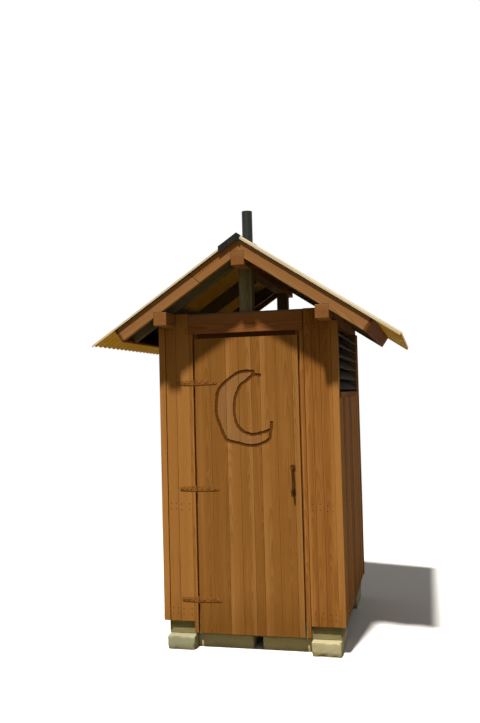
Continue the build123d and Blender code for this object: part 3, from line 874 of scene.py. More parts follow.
def ribbed_sheet(tree, entry):
    """A ribbed sheet that lies along X, with its ribs down X and its top at the waves' crests."""
    reach, width, depth, gauge, lip = (entry[k] for k in ("Reach", "Width", "Wave Depth", "Gauge", "Lip"))
    grid = add_node(
        tree, "GeometryNodeMeshGrid", Size_X=reach, Size_Y=width, Vertices_X=entry["Columns"],
        Vertices_Y=entry["Rows"],
    )
    place = add_node(tree, "GeometryNodeInputPosition")
    turn = (split(place)[1] / width + 0.5) * entry["Waves"] * math.tau
    wave = work_out("COSINE", turn) * -1.0
    rise = (depth - gauge) * 0.5
    uneven = cloud(place, 2.6, 1.0) - 0.5
    level = wave * rise - rise - gauge + uneven * entry["Sag"]
    offset = join(reach * 0.5, 0.0, level)
    grid = add_node(tree, "GeometryNodeSetPosition", Geometry=grid, Offset=offset)
    grid = stored(grid, "trough", wave * -1.0, "FLOAT")
    thick = add_node(
        tree, "GeometryNodeExtrudeMesh", mode="FACES", Mesh=grid, Offset_Scale=gauge, Individual=False
    )
    back = add_node(tree, "GeometryNodeFlipFaces", Mesh=grid)
    waved = add_node(tree, "GeometryNodeMergeByDistance", Geometry=gathered(thick, back), Distance=1e-5)
    strip = add_node(
        tree, "GeometryNodeMeshCube", Size=join(reach, gauge, lip + gauge), Vertices_X=entry["Lip Columns"],
        Vertices_Y=2, Vertices_Z=2,
    )
    aside = (width - gauge) * 0.5
    level = (gauge - lip) * 0.5 - depth
    lips = [moved(strip, Translation=join(reach * 0.5, y, level)) for y in (aside * -1.0, aside)]
    slope = join(0.0, entry["Slope"], 0.0)
    return moved(gathered(waved, *lips), Translation=entry["Apex"], Rotation=slope)


def rule_tree(rule, sizes):
    """The tree that a rule builds, with a named input for each size. It is built once."""
    if rule.__name__ in bpy.data.node_groups:
        return bpy.data.node_groups[rule.__name__]
    tree = bpy.data.node_groups.new(rule.__name__, "GeometryNodeTree")
    kinds = {float: "Float", int: "Int", tuple: "Vector"}
    tree.interface.new_socket("Geometry", in_out="INPUT", socket_type="NodeSocketGeometry")
    for label, value in sizes.items():
        kind = "NodeSocket" + kinds[type(value)]
        tree.interface.new_socket(label, in_out="INPUT", socket_type=kind).default_value = value
    tree.interface.new_socket("Finish", in_out="INPUT", socket_type="NodeSocketMaterial")
    tree.interface.new_socket("Geometry", in_out="OUTPUT", socket_type="NodeSocketGeometry")
    entry = {s.name: Wire(tree, s) for s in tree.nodes.new("NodeGroupInput").outputs if s.name}
    geometry = add_node(tree, "GeometryNodeRealizeInstances", rule(tree, entry))
    geometry = add_node(tree, "GeometryNodeSetMaterial", Geometry=geometry, Material=entry["Finish"])
    tree.links.new(geometry.socket, tree.nodes.new("NodeGroupOutput").inputs[0])
    return tree


def grown(name, rule, look, sizes, mesh=None):
    """The plain mesh that a rule's tree makes of a mesh, with these sizes for its named inputs."""
    holder = placed(name, mesh or bpy.data.meshes.new("seed"))
    modifier = holder.modifiers.new("Rule", "NODES")
    modifier.node_group = rule_tree(rule, sizes)
    values = dict(sizes, Finish=finish(look))
    for item in modifier.node_group.interface.items_tree:
        if item.in_out == "INPUT" and item.name in values:
            modifier[item.identifier] = values[item.name]
    made = plain_mesh(holder)
    made.name = name
    if not made.polygons:
        raise RuntimeError(rule.__name__ + " made nothing for " + name)
    return reworked(made, face_outwards)


def point_mesh(points, **vectors):
    """Loose points, each with these vectors."""
    mesh = bpy.data.meshes.new("points")
    mesh.from_pydata([tuple(p) for p in points], [], [])
    for name, values in vectors.items():
        write_attribute(mesh, name, "FLOAT_VECTOR", "POINT", [tuple(v) for v in values])
    return mesh


def heads(name, spots, look, diameter, rise, seed, body="cabin", washer=0.0):
    """Nail, bolt or screw heads, each given by its place and the way that it faces."""
    points, ways = zip(*spots)
    sizes = {"Diameter": diameter, "Rise": rise, "Seed": seed}
    if washer:
        sizes["Washer"] = washer
    rule = washered_screws if washer else domed_heads
    mesh = grown(name, rule, look, sizes, point_mesh(points, facing=ways))
    piece(name, smooth_sides(mesh, 40), look, body)


def board_mesh(name, boards, look, play, seed):
    """Vertical boards, each given by its lowest and highest corner."""
    centres = [(low + high) / 2 for low, high in boards]
    points = point_mesh(centres, size=[high - low for low, high in boards])
    edge = bpy.context.scene.outhouse_boards.edge
    sizes = {"Edge Radius": edge, "Depth Play": tuple(play), "Seed": seed}
    mesh = grown(name, boards_on_points, look, sizes, points)
    for spare in ("size", "place", "shift"):
        if spare in mesh.attributes:
            mesh.attributes.remove(mesh.attributes[spare])
    return mesh


def tongues(boards, axis):
    """Thin strips inside the boards, one in each joint, so that no light passes between two boards."""
    near, far = 0.36, 0.64
    grip, short = 0.007, 0.003
    strips = []
    for (low, high), (after, end) in zip(boards, boards[1:]):
        start = Vector((0, 0, max(low.z, after.z) + short))
        stop = Vector((0, 0, min(high.z, end.z) - short))
        start[axis] = high[axis] - grip
        stop[axis] = after[axis] + grip
        face, back = low[1 - axis], high[1 - axis]
        start[1 - axis] = face + (back - face) * near
        stop[1 - axis] = face + (back - face) * far
        strips.append((start, stop))
    return strips


def with_strips(tones):
    """These tones, with a strip's after each of them."""
    return [tone for pair in tones for tone in (pair, STRIP_TONE)]


# Siding

def board_corners(node, starts, axis, tops, gaps):
    """The corners of a wall's boards between these starts, with these gaps at the wall's ends."""
    joint = bpy.context.scene.outhouse_boards.joint
    low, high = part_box(node)
    boards = []
    for k, (start, end) in enumerate(zip(starts, starts[1:])):
        corner = low.copy()
        corner[axis] = start + (joint / 2 if k else gaps[0])
        other = high.copy()
        other[axis] = end - (joint / 2 if k < len(starts) - 2 else gaps[1])
        other.z = tops[k]
        boards.append((corner, other))
    return boards


def nails_in(boards, axis, face, heights):
    """Two nails a board at each height, or one on a narrow board."""
    inset, narrow, below_top, uneven = 0.018, 0.014, 0.012, 0.004
    way = Vector((0, 0, 0))
    way[1 - axis] = math.copysign(1, face)
    nails = []
    for low, high in boards:
        middle = (low[axis] + high[axis]) / 2
        reach = (high[axis] - low[axis]) / 2 - inset
        for height in heights:
            if height > high.z - below_top:
                continue
            for side in ((-1, 1) if reach > narrow else (0,)):
                spot = Vector((0, 0, height + uneven * math.sin(97 * (middle + side))))
                spot[axis] = middle + side * reach
                spot[1 - axis] = face
                nails.append((spot, way))
    return nails


def siding(name, boards, axis, nodes, seed, tones=None):
    """A wall's boards, which lie back a little, each by its own share."""
    across = (ACROSS, DEPTH)[axis]
    inward = across.cross(UP)
    middle = sum(((low + high) / 2 for low, high in boards), Vector()) / len(boards)
    play = math.copysign(bpy.context.scene.outhouse_boards.play, inward.dot(Vector((middle.x, middle.y, 0))))
    mesh = board_mesh(name, boards, "stained_boards", inward * -play, seed)
    mark_boards(mesh, UP, across, seed, tones, (0.1, 0.95))
    piece(name, mesh, "stained_boards", nodes=nodes)


# The crescent

def encloses(outline, x, z):
    """True where a point lies inside a closed outline."""
    inside = False
    for first, second in zip(outline, outline[1:] + outline[:1]):
        if (first.y > z) != (second.y > z):
            crossing = first.x + (z - first.y) / (second.y - first.y) * (second.x - first.x)
            inside = inside != (x < crossing)
    return inside


def curve_through(line, step):
    """Points every step or so along a smooth curve through the line's own points."""
    knots = [Vector(point) for point in line]
    knots = [knots[0] * 2 - knots[1], *knots, knots[-1] * 2 - knots[-2]]
    points = []
    for a, b, c, d in zip(knots, knots[1:], knots[2:], knots[3:]):
        steps = max(round((c - b).length / step), 1)
        for k in range(steps):
            t = k / steps
            bend = (a * 2 - b * 5 + c * 4 - d) + (b * 3 - a - c * 3 + d) * t
            points.append(b + ((c - a) + bend * t) * (t / 2))
    return [*points, knots[-2]]


def router_cut(line, front, number):
    """A wall along a line, whose thickness wavers as a hand-held router's cut does."""
    sizes = bpy.context.scene.outhouse_door
    step, unevenness, proud = 0.006, 0.28, 0.01
    overrun = sizes.line * 0.3
    points = curve_through(line, step)
    last = len(points) - 1
    bm = bmesh.new()
    rings = []
    for k, point in enumerate(points):
        ahead = (points[min(k + 1, last)] - points[max(k - 1, 0)]).normalized()
        if k == 0:
            point = point - ahead * overrun
        if k == last:
            point = point + ahead * overrun
        waver = noise.noise(Vector((point.x * 60, point.y * 60, number * 7.3)))
        side = Vector((-ahead.y, ahead.x)) * (sizes.line / 2 * (1 + unevenness * waver))
        outer, inner = front - proud, front + sizes.cut
        corners = ((1, outer), (-1, outer), (-1, inner), (1, inner))
        spots = [(point + side * way, y) for way, y in corners]
        rings.append([bm.verts.new((spot.x, y, spot.y)) for spot, y in spots])
    for first, second in zip(rings, rings[1:]):
        for k in range(4):
            bm.faces.new((first[k], first[(k + 1) % 4], second[(k + 1) % 4], second[k]))
    bm.faces.new(rings[0])
    bm.faces.new(reversed(rings[-1]))
    face_outwards(bm)
    return bm


def mark_crescent(mesh, low, high):
    """Marks the faces of the routed line and of the wood inside the crescent."""
    sizes = bpy.context.scene.outhouse_door
    outline = [Vector((low.x + a, high.z - d)) for a, d in CRESCENT[0][:-1] + CRESCENT[1][::-1]]
    middle = Vector((low.x + sizes.moon_x, high.z - sizes.moon_z))
    skin_deep, slack = 0.0014, 0.0004
    mesh.calc_loop_triangles()
    largest = {}
    for triangle in mesh.loop_triangles:
        best = largest.get(triangle.polygon_index)
        if triangle.area > (best.area if best else 0.0):
            largest[triangle.polygon_index] = triangle
    burn = np.zeros(len(mesh.polygons))
    moon = np.zeros(len(mesh.polygons))
    for number, triangle in largest.items():
        spot = sum((mesh.vertices[v].co for v in triangle.vertices), Vector()) / 3
        sunk = spot.y - low.y
        near = (spot.xz - middle).length < sizes.reach
        burn[number] = skin_deep < sunk < sizes.cut + slack and near
        moon[number] = sunk <= skin_deep and encloses(outline, spot.x, spot.z)
    write_face_mark(mesh, "burn", burn)
    write_face_mark(mesh, "moon", moon)


# Roof

def roof_pitch():
    """The roof's rise over its run, worked out from the sheet's box."""
    low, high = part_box("right_roof_sheet")
    sizes = bpy.context.scene.outhouse_roof
    depth = sizes.depth + sizes.lip
    pitch = 0.6
    for _ in range(30):
        pitch = (high.z - low.z - depth * math.sqrt(1 + pitch * pitch)) / (high.x - low.x)
    return pitch


# Operators

class OUTHOUSE_OT_stage(bpy.types.Operator):
    """Sets up the camera, the light and the floor"""

    bl_idname = "outhouse.stage"
    bl_label = "Stage"

    def execute(self, context):
        look = context.scene.outhouse_stage
        scene = context.scene
        scene.view_settings.view_transform = "Standard"

        # Where the camera stands and how it is turned, in metres and radians
        yaw, pitch, roll = 0.234924, 0.041071, -0.025450
        place = (1.16501, -5.81253, 1.70825)
        ahead = Vector((-math.sin(yaw) * math.cos(pitch), math.cos(yaw) * math.cos(pitch), math.sin(pitch)))
        level = Vector((math.cos(yaw), math.sin(yaw), 0.0))
        upright = level.cross(ahead)
        right = math.cos(roll) * level + math.sin(roll) * upright
        top = -math.sin(roll) * level + math.cos(roll) * upright
        lens = bpy.data.cameras.new("camera")
        lens.sensor_width = 36.0
        lens.lens = 38.459
        scene.camera = placed("camera", lens)
        turn = Matrix((right, top, -ahead)).transposed().to_4x4()
        scene.camera.matrix_world = Matrix.Translation(place) @ turn

        lamp = bpy.data.lights.new("key", "SUN")
        lamp.energy = look.key
        lamp.angle = look.softness
        lamp.color = (1.0, 0.975, 0.93)
        towards = Vector((-0.076, -0.394, 0.916))
        placed("key", lamp).rotation_euler = towards.to_track_quat("Z", "Y").to_euler()

        scene.world = bpy.data.worlds.new("soft_studio")
        tree = empty_tree(scene.world)
        dim = add_node(tree, "ShaderNodeBackground", (1.0, 0.99, 0.97, 1.0), look.ambient)
        white = add_node(tree, "ShaderNodeBackground", (1.0, 1.0, 1.0, 1.0), 1.0)
        surface(mixed(seen_by_camera(tree), dim, white), "ShaderNodeOutputWorld")

        bm = bmesh.new()
        bmesh.ops.create_circle(bm, cap_ends=True, radius=26.0, segments=64)
        floor = placed("floor", mesh_from(bm, "floor"))
        material = bpy.data.materials.new("pale_floor")
        floor.data.materials.append(material)
        tree = empty_tree(material)
        x, y, _ = split(object_place(tree))
        far = smooth(work_out("SQRT", x * x + y * y), 2.2, 5.0)
        dull = add_node(tree, "ShaderNodeBsdfDiffuse", Color=whole(look.bounce))
        pale = add_node(tree, "ShaderNodeBsdfDiffuse", Color=whole(look.floor))
        glow = add_node(tree, "ShaderNodeEmission", (1.0, 1.0, 1.0, 1.0), 1.0)
        surface(mixed(seen_by_camera(tree), dull, mixed(far, pale, glow)))
        return {"FINISHED"}


class OUTHOUSE_OT_siding(bpy.types.Operator):
    """Clads the four walls with vertical boards and nails them on"""

    bl_idname = "outhouse.siding"
    bl_label = "Siding"

    def execute(self, context):
        sizes = context.scene.outhouse_boards
        grooves = (sizes.trim_groove, sizes.trim_groove)
        plate_low, plate_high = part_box("left_plate")
        plate = plate_low.z
        post_x = -plate_high.x

        low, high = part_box("front_left_wall")
        starts = [low.x, -post_x, high.x]
        beside_casing = 0.0008
        ends = (sizes.corner_groove, beside_casing)
        left = board_corners("front_left_wall", starts, 0, [plate, high.z], ends)
        low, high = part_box("front_right_wall")
        starts = [low.x, (low.x + post_x) / 2, post_x, high.x]
        tops = [high.z, high.z, plate]
        ends = (sizes.trim_groove, sizes.joint)
        right = board_corners("front_right_wall", starts, 0, tops, ends)
        nails = nails_in(left + right, 0, low.y, GABLE_NAILS)
        casing = (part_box("door_trims")[0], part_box("door_header")[1])
        front = left + tongues(left, 0) + right + tongues([casing, *right], 0)
        siding("front_siding", front, 0, "front_left_wall front_right_wall", 11, with_strips(FRONT_TONES))

        low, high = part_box("back_wall")
        starts = [low.x, *np.linspace(-post_x, post_x, sizes.back_count + 1).tolist(), high.x]
        tops = [plate, *[high.z] * sizes.back_count, plate]
        back = board_corners("back_wall", starts, 0, tops, grooves)
        nails += nails_in(back, 0, high.y, GABLE_NAILS)
        siding("back_siding", back + tongues(back, 0), 0, "back_wall", 12)

        for node, seed in (("right_wall", 13), ("left_wall", 14)):
            low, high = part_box(node)
            starts = np.linspace(low.y, high.y, sizes.side_count + 1).tolist()
            side = board_corners(node, starts, 1, [high.z] * sizes.side_count, grooves)
            nails += nails_in(side, 1, high.x if node == "right_wall" else low.x, SIDE_NAILS)
            siding(node.replace("wall", "siding"), side + tongues(side, 1), 1, node, seed)

        sizes = context.scene.outhouse_fasteners
        heads("siding_nails", nails, "dark_iron", sizes.nail, sizes.nail_rise, 3)
        return {"FINISHED"}


class OUTHOUSE_OT_trim(bpy.types.Operator):
    """Adds corner boards, door casing, louvre jambs and sills"""

    bl_idname = "outhouse.trim"
    bl_label = "Trim"

    def execute(self, context):
        edge = context.scene.outhouse_boards.trim_edge
        look = "stained_boards"
        timber("corner_trim", "corner_boards", look, UP, ACROSS, 21, edge, spread=(0.75, 1.0))
        timber("door_casing", "door_trims", look, UP, ACROSS, 22, edge, spread=(0.45, 0.7))
        # The door head takes the beam finish darkened as painted shade for its place under the roof.
        timber("door_head", "door_header", "dark_beams", ACROSS, UP, 23, edge=0.0025, tones=[(0.55, 1)])
        timber("vent_jambs", "louvre_jambs", look, UP, DEPTH, 24, edge)
        timber("vent_sills", "louvre_sills", look, DEPTH, ACROSS, 25, edge)
        return {"FINISHED"}


class OUTHOUSE_OT_door(bpy.types.Operator):
    """Builds the door's planks with the routed crescent, and its ledges"""

    bl_idname = "outhouse.door"
    bl_label = "Door"

    def execute(self, context):
        joint = context.scene.outhouse_door.joint
        low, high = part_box("door_panel")
        boards = []
        x = low.x
        for width, _, _ in DOOR_PLANKS:
            end = min(x + width, high.x)
            start = Vector((x + (joint / 2 if boards else 0.0), low.y, low.z))
            stop = Vector((end - (0.0 if end == high.x else joint / 2), high.y, high.z))
            boards.append((start, stop))
            x = end
        play = Vector((0, 0.0005, 0))
        planks = board_mesh("planks", boards, "door_planks", play, 31)
        for number, line in enumerate(CRESCENT):
            places = [(low.x + across, high.z - down) for across, down in line]
            planks = carved(planks, router_cut(places, low.y, number))
        strips = board_mesh("strips", tongues(boards, 0), "door_planks", play, 33)
        mesh = mesh_from(gathered_meshes((planks, strips)), "door_planks")
        mark_boards(mesh, UP, ACROSS, 31, with_strips([plank[1:] for plank in DOOR_PLANKS]))
        mark_crescent(mesh, low, high)
        piece("door_planks", mesh, "door_planks", "door", "door_panel")
        timber(
            "door_back_ledges", "door_ledges", "door_planks", ACROSS, UP, 32, edge=0.001, body="door",
            spread=(0.3, 0.7),
        )

        from_end, aside, rise = 0.02, 0.018, 0.001
        spots = []
        for start, end in solid_boxes("door_ledges"):
            middle = (start.z + end.z) / 2
            for first, last in boards:
                centre = (first.x + last.x) / 2
                if start.x + from_end < centre < end.x - from_end:
                    spots += [(Vector((centre, end.y, middle + step)), DEPTH) for step in (aside, -aside)]
        heads("ledge_screws", spots, "dark_iron", context.scene.outhouse_fasteners.nail, rise, 5, "door")
        return {"FINISHED"}


class OUTHOUSE_OT_ironwork(bpy.types.Operator):
    """Dresses the strap hinges and the handle, with their bolts and screws"""

    bl_idname = "outhouse.ironwork"
    bl_label = "Ironwork"

    def execute(self, context):
        sizes = context.scene.outhouse_fasteners
        look = "brown_hinge_paint"
        strap_face, barrel = -0.765, 0.007
        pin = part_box("wall_hinge_leaves")[1].x - barrel
        for side, body, steps in (
            ("wall", "cabin", (-0.036, -0.066, -0.098)),
            ("door", "door", (0.040, 0.082, 0.134)),
        ):
            node = side + "_hinge_leaves"
            smooth_copy(side + "_straps", node, look, body)
            spots = [
                (Vector((pin + step, strap_face, (low.z + high.z) / 2)), -DEPTH)
                for low, high in solid_boxes(node) for step in steps
            ]
            heads(side + "_hinge_bolts", spots, look, sizes.bolt, sizes.bolt_rise, 6, body)

        smooth_copy("pull_handle", "door_handle", "dark_iron", "door")
        low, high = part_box("door_handle")
        middle = (low.x + high.x) / 2
        from_end, sunk, aside = 0.019, 0.004, 0.0115
        width, rise = 0.007, 0.0014
        spots = [
            (Vector((middle + step, high.y - sunk, z)), -DEPTH)
            for z in (low.z + from_end, high.z - from_end) for step in (-aside, aside)
        ]
        heads("handle_screws", spots, "dark_iron", width, rise, 7, "door")
        return {"FINISHED"}


class OUTHOUSE_OT_louvres(bpy.types.Operator):
    """Fills the two vents with sloping slats"""

    bl_idname = "outhouse.louvres"
    bl_label = "Louvres"

    def execute(self, context):
        sizes = context.scene.outhouse_louvres
        edge, end_play = 0.0022, 0.001
        rise = (sizes.width * math.sin(sizes.slope) + sizes.gauge * math.cos(sizes.slope)) / 2
        for node, side in (("right_louvre", 1), ("left_louvre", -1)):
            low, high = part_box(node)
            values = {
                "Count": sizes.count, "Pitch": sizes.pitch, "Slat Width": sizes.width,
                "Slat Gauge": sizes.gauge, "Slat Length": high.y - low.y - end_play,
                "Slope": side * sizes.slope, "Edge Radius": edge,
                "Lowest": ((low.x + high.x) / 2, 0.0, low.z + rise),
            }
            name = node + "_slats"
            mesh = grown(name, sloping_slats, "weathered_slats", values)
            fall = Vector((side * math.cos(sizes.slope), 0, -math.sin(sizes.slope)))
            mark_boards(mesh, DEPTH, fall, 41, spread=(0.2, 0.9))
            piece(name, mesh, "weathered_slats", nodes=node)
        return {"FINISHED"}


class OUTHOUSE_OT_framing(bpy.types.Operator):
    """Dresses the posts, beams, rafters, barge boards and the floor"""

    bl_idname = "outhouse.framing"
    bl_label = "Framing"

    def execute(self, context):
        trim_edge = context.scene.outhouse_boards.trim_edge
        # dark names the beam finish darkened as painted shade; the door studs, lintel and eave boards below
        # use it.
        raw, treated, dark, stained = "framing_timber", "treated_timber", "dark_beams", "stained_beams"
        posts = "front_left_post front_right_post rear_posts king_posts"
        beams = "right_plate left_plate ridge_beam"
        pair = [(0.6, 0), (0.6, 0)]
        timber("door_side_studs", "door_studs", dark, UP, ACROSS, 50, slot="raw_wood", tones=pair)
        timber("posts", posts, raw, UP, ACROSS, 51, spread=(0.3, 0.9))
        timber("cross_ties", "front_tie rear_tie", raw, ACROSS, UP, 52, tones=[(0.7, 0), (0.7, 0)])
        # The lintel takes the darkest tone, painted shade in the gap over the door.
        timber("door_lintel_beam", "door_lintel", dark, ACROSS, UP, 52, slot="raw_wood", tones=[(0.0, 0)])
        timber("side_girts", "wall_girts", raw, DEPTH, UP, 53)
        timber("plates_and_ridge", beams, stained, DEPTH, UP, 54, spread=(0.5, 0.8))
        timber("rims", "end_rims", treated, ACROSS, UP, 55)
        timber("joists", "floor_joists", treated, DEPTH, UP, 56)
        timber("floor_boarding", "floor_deck", raw, DEPTH, ACROSS, 57, edge=0.0015)
        # The eave boards take dark tones of the same finish, painted shade under the eaves.
        timber("eave_fascias", "eave_boards", dark, DEPTH, UP, 59, trim_edge, tones=[(0.15, 0), (0.15, 0)])

        pitch = roof_pitch()
        for side, label in ((1, "right"), (-1, "left")):
            down = Vector((side, 0, -pitch))
            square = Vector((side * pitch, 0, 1))
            rafters = label + "_side_rafters"
            timber(rafters, label + "_rafters", raw, down, square, 58, spread=(0.2, 0.8))
            rear = "back_" + label + "_barge_board"
            timber(rear, "rear_" + label + "_barge", stained, down, square, 60 + side, spread=(0.3, 0.8))
            name, node = "front_" + label + "_barge_board", "front_" + label + "_barge"
            if side > 0:
                timber(name, node, stained, down, square, 63, tones=[(0.72, -1)])
            else:
                self.spliced(name, node, down, square, pitch)
        return {"FINISHED"}

    def spliced(self, name, node, down, square, pitch):
        """The left front barge board, made of two lengths with an open joint between them."""
        gap, joint_x, below_sheet = 0.0024, -0.317, 0.049
        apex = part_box("right_roof_sheet")[1].z
        middle = Vector((joint_x, 0.0, apex + pitch * joint_x - below_sheet))
        normal = Vector((0.75, 0.0, -0.66)).normalized().cross(DEPTH).normalized()
        board = merged(node)
        halves = []
        for side in (-1, 1):
            half = board.copy()
            geometry = [*half.verts, *half.edges, *half.faces]
            place = middle + normal * side * (gap / 2)
            cut = bmesh.ops.bisect_plane(
                half, geom=geometry, plane_co=place, plane_no=normal, dist=1e-6, clear_outer=side < 0,
                clear_inner=side > 0,
            )
            rim = [e for e in cut["geom_cut"] if isinstance(e, bmesh.types.BMEdge)]
            bmesh.ops.contextual_create(half, geom=rim)
            face_outwards(half)
            wear_edges(half, bpy.context.scene.outhouse_boards.timber_edge)
            halves.append(mesh_from(half, "half"))
        board.free()
        mesh = mesh_from(gathered_meshes(halves), name)
        mark_boards(mesh, down, square, 64, lambda place: 0.74 if place[0] < middle.x else 0.52)
        piece(name, mesh, "stained_beams", nodes=node)


class OUTHOUSE_OT_roof(bpy.types.Operator):
    """Lays the roof boarding, the ribbed sheets with their screws, and the ridge cap"""

    bl_idname = "outhouse.roof"
    bl_label = "Roof"

    def execute(self, context):
        sizes = context.scene.outhouse_roof
        pitch = roof_pitch()
        slope = math.atan(pitch)
        low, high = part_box("right_roof_sheet")
        pipe_low, pipe_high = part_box("vent_pipe")
        pipe = (pipe_low + pipe_high) / 2
        play, faces_a_wave = 0.0005, 12
        values = {
            "Reach": high.x / math.cos(slope) - play, "Width": high.y - low.y, "Waves": sizes.waves,
            "Wave Depth": sizes.depth, "Gauge": sizes.gauge, "Lip": sizes.lip, "Slope": slope,
            "Apex": (0.0, 0.0, high.z), "Columns": 20, "Rows": sizes.waves * faces_a_wave + 1,
            "Lip Columns": 24, "Sag": 0.0008,
        }
        look = "cream_roof_plastic"
        for side, label in ((1, "right"), (-1, "left")):
            down = Vector((side, 0, -pitch))
            timber(
                label + "_boarding", label + "_roof_boards", "roof_boarding", DEPTH, down, 70, edge=0.0012,
                spread=(0.2, 0.6),
            )
            name = label + "_ribbed_sheet"
            mesh = grown(name, ribbed_sheet, look, values)
            if side < 0:
                mesh.transform(Matrix.Scale(-1, 4, ACROSS))
                mesh = self.pipe_hole(mesh, pipe)
            reworked(mesh, face_outwards)
            normals = face_normals(mesh)
            write_face_mark(mesh, "rim", np.abs(normals[:, 1]) > 0.9)
            # Faces that look down are marked for the painted glow of light through the sheet.
            write_face_mark(mesh, "under", normals[:, 2] < -0.2)
            piece(name, smooth_sides(mesh, 50), look, nodes=label + "_roof_sheet")
        self.screws(context, slope, low, high, pipe)
        self.cap()
        return {"FINISHED"}

    def pipe_hole(self, mesh, pipe):
        """The sheet with a round hole that clears the pipe."""
        radius, height, depth = 0.0485, 2.5, 2.0
        bm = bmesh.new()
        place = Matrix.Translation((pipe.x, pipe.y, height))
        bmesh.ops.create_cone(
            bm, cap_ends=True, segments=48, radius1=radius, radius2=radius, depth=depth, matrix=place
        )
        return carved(mesh, bm)

    def screws(self, context, slope, low, high, pipe):
        """Screws through every fourth crest, in rows across the slope and clear of the pipe."""
        sizes = context.scene.outhouse_roof
        fasteners = context.scene.outhouse_fasteners
        step = (sizes.last_row - sizes.first_row) / (sizes.screw_rows - 1)
        pitch = (high.y - low.y) / sizes.waves
        clear, sunk, rise = 0.17, 0.0004, 0.0032
        first_crest, every = 1, 4
        spots = []
        for side in (-1, 1):
            way = Vector((side * math.sin(slope), 0, math.cos(slope)))
            down = Vector((side * math.cos(slope), 0, -math.sin(slope)))
            for row in range(sizes.screw_rows):
                for crest in range(first_crest, sizes.waves, every):
                    ridge = Vector((0, low.y + (crest + 0.5) * pitch, high.z))
                    spot = ridge + down * (sizes.first_row + row * step) - way * sunk
                    if (spot.xy - pipe.xy).length >= clear:
                        spots.append((spot, way))
        heads("roof_screws", spots, "zinc_screws", fasteners.hexagon, rise, 8, washer=fasteners.washer)

    def cap(self):
        """The folded cap, its right leg cut back a little from the gable ends."""
        fold, cut_back, edge = 0.0205, 0.04, 0.0005
        mesh = mesh_from(merged("ridge_cap"), "folded_ridge_cap")
        low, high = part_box("ridge_cap")
        for y in (low.y, high.y):
            bm = bmesh.new()
            size = Matrix.Diagonal((1.0, cut_back * 2, 1.0, 1.0))
            place = Matrix.Translation((fold + 0.5, y, high.z))
            bmesh.ops.create_cube(bm, size=1.0, matrix=place @ size)
            mesh = carved(mesh, bm)
        reworked(mesh, lambda bm: wear_edges(bm, edge, 1))
        piece("folded_ridge_cap", mesh, "dark_flashing_sheet", nodes="ridge_cap")


class OUTHOUSE_OT_pipe(bpy.types.Operator):
    """Adds the vent pipe and its flashing"""

    bl_idname = "outhouse.pipe"
    bl_label = "Vent Pipe"

    def execute(self, context):
        low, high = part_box("vent_pipe")
        centre = (low + high) / 2
        outer = (high.x - low.x) / 2
        wall, lip, turns = 0.0055, 0.0012, 72
        inner = outer - wall
        corner = lip * 0.3
        section = (
            (inner, low.z), (outer, low.z), (outer, high.z - lip), (outer - corner, high.z - corner),
            (outer - lip, high.z), (inner + lip, high.z), (inner + corner, high.z - corner),
            (inner, high.z - lip),
        )
        bm = bmesh.new()
        rings = []
        for k in range(turns):
            x, y = math.cos(math.tau * k / turns), math.sin(math.tau * k / turns)
            rings.append([bm.verts.new((centre.x + r * x, centre.y + r * y, z)) for r, z in section])
        for first, second in zip(rings, rings[1:] + rings[:1]):
            for a, b, c, d in zip(first, second, second[1:] + second[:1], first[1:] + first[:1]):
                bm.faces.new((a, b, c, d))
        face_outwards(bm)
        mesh = smooth_sides(mesh_from(bm, "black_vent_pipe"), 50)
        piece("black_vent_pipe", mesh, "black_pipe_plastic", nodes="vent_pipe")
        smooth_copy("rubber_pipe_boot", "pipe_flashing", "dark_flashing_sheet", degrees=40)
        return {"FINISHED"}


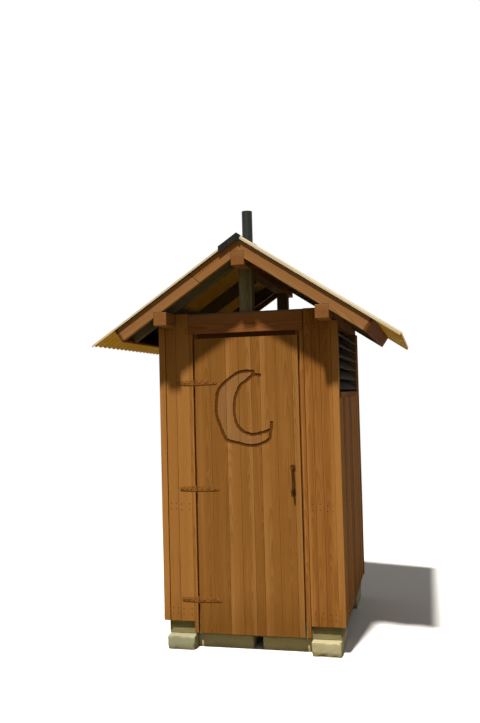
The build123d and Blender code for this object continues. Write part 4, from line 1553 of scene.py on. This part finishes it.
class OUTHOUSE_OT_blocks(bpy.types.Operator):
    """Casts the concrete blocks under the floor, with rough faces and chipped edges"""

    bl_idname = "outhouse.blocks"
    bl_label = "Blocks"

    def execute(self, context):
        nodes = "front_left_block front_right_block front_inner_blocks rear_blocks"
        casts = [self.block(low, high, k) for k, (low, high) in enumerate(solid_boxes(nodes))]
        mesh = mesh_from(gathered_meshes(casts), "cast_blocks")
        mark_boards(mesh, ACROSS, DEPTH, 81, tones=self.tone)
        piece("cast_blocks", smooth_sides(mesh, 60), "rough_cast_concrete", nodes=nodes)
        return {"FINISHED"}

    def tone(self, place):
        """The outer left blocks are dark, and the inner right ones pale, painted paler as light that reaches
        the shade under the door.
        """
        return np.interp(place[0], (-0.45, -0.25, 0.2, 0.45), (0.1, 0.7, 1.0, 0.5))

    def block(self, low, high, seed):
        """One block of fine quads, its faces uneven and its upper edges chipped."""
        step, rounding, outer = 0.012, 0.006, 0.0065
        taken, least, grit_depth, swell_depth = 0.0012, 0.0002, 0.0011, 0.0012
        chip_reach, chip_from, chip_depth = 0.012, 0.18, 0.012
        grit_shift = Vector((seed * 5.1, 0, 0))
        chip_shift = Vector((0, 0, seed * 3.7))
        middle = (low + high) / 2
        span = high - low
        bm = bmesh.new()
        bmesh.ops.create_cube(bm, size=1.0)
        for axis, normal in enumerate((ACROSS, DEPTH, UP)):
            parts = max(int(round(span[axis] / step)), 1)
            for cut in range(1, parts):
                geometry = [*bm.verts, *bm.edges, *bm.faces]
                place = normal * (cut / parts - 0.5)
                bmesh.ops.bisect_plane(bm, geom=geometry, plane_co=place, plane_no=normal, dist=1e-6)
        for vertex in bm.verts:
            at = Vector([vertex.co[k] * span[k] for k in range(3)])
            inset = [span[k] / 2 - abs(at[k]) for k in range(3)]
            near = [max(rounding - value, 0.0) for value in inset]
            total = math.sqrt(sum(value * value for value in near))
            if total > rounding:
                for k in range(3):
                    at[k] -= math.copysign(near[k] / total * (total - rounding), at[k])
            spot = at + middle
            pull = taken + noise.noise(spot * 38 + grit_shift) * grit_depth
            pull += noise.noise(spot * 9) * swell_depth
            if sorted(inset)[1] < chip_reach:
                pull += max(noise.noise(spot * 22 + chip_shift) - chip_from, 0.0) * chip_depth
            for k in range(3):
                if inset[k] < outer and not (k == 2 and at[k] < 0):
                    at[k] -= math.copysign(max(pull, least), at[k])
            at.z = max(at.z, -span.z / 2)
            vertex.co = at + middle
        return mesh_from(bm, "block")


STEPS = (
    OUTHOUSE_OT_stage,
    OUTHOUSE_OT_siding,
    OUTHOUSE_OT_trim,
    OUTHOUSE_OT_door,
    OUTHOUSE_OT_ironwork,
    OUTHOUSE_OT_louvres,
    OUTHOUSE_OT_framing,
    OUTHOUSE_OT_roof,
    OUTHOUSE_OT_pipe,
    OUTHOUSE_OT_blocks,
)


class OUTHOUSE_PT_pieces(bpy.types.Panel):
    """Lists the outhouse's pieces and sizes"""

    bl_label = "Outhouse"
    bl_idname = "OUTHOUSE_PT_pieces"
    bl_space_type = "VIEW_3D"
    bl_region_type = "UI"
    bl_category = "Outhouse"

    def draw(self, context):
        for step in STEPS:
            self.layout.operator(step.bl_idname)
        for name, group in GROUPS.items():
            box = self.layout.box()
            box.label(text=group.__name__)
            for key in group.__annotations__:
                box.prop(getattr(context.scene, name), key)


def register():
    for name, group in GROUPS.items():
        bpy.utils.register_class(group)
        setattr(bpy.types.Scene, name, PointerProperty(type=group))
    for made in (*STEPS, OUTHOUSE_PT_pieces):
        bpy.utils.register_class(made)


def unregister():
    for made in (OUTHOUSE_PT_pieces, *reversed(STEPS)):
        bpy.utils.unregister_class(made)
    for name, group in GROUPS.items():
        delattr(bpy.types.Scene, name)
        bpy.utils.unregister_class(group)


def main():
    register()
    for step in STEPS:
        family, name = step.bl_idname.split(".")
        getattr(getattr(bpy.ops, family), name)()


if __name__ == "__main__":
    main()
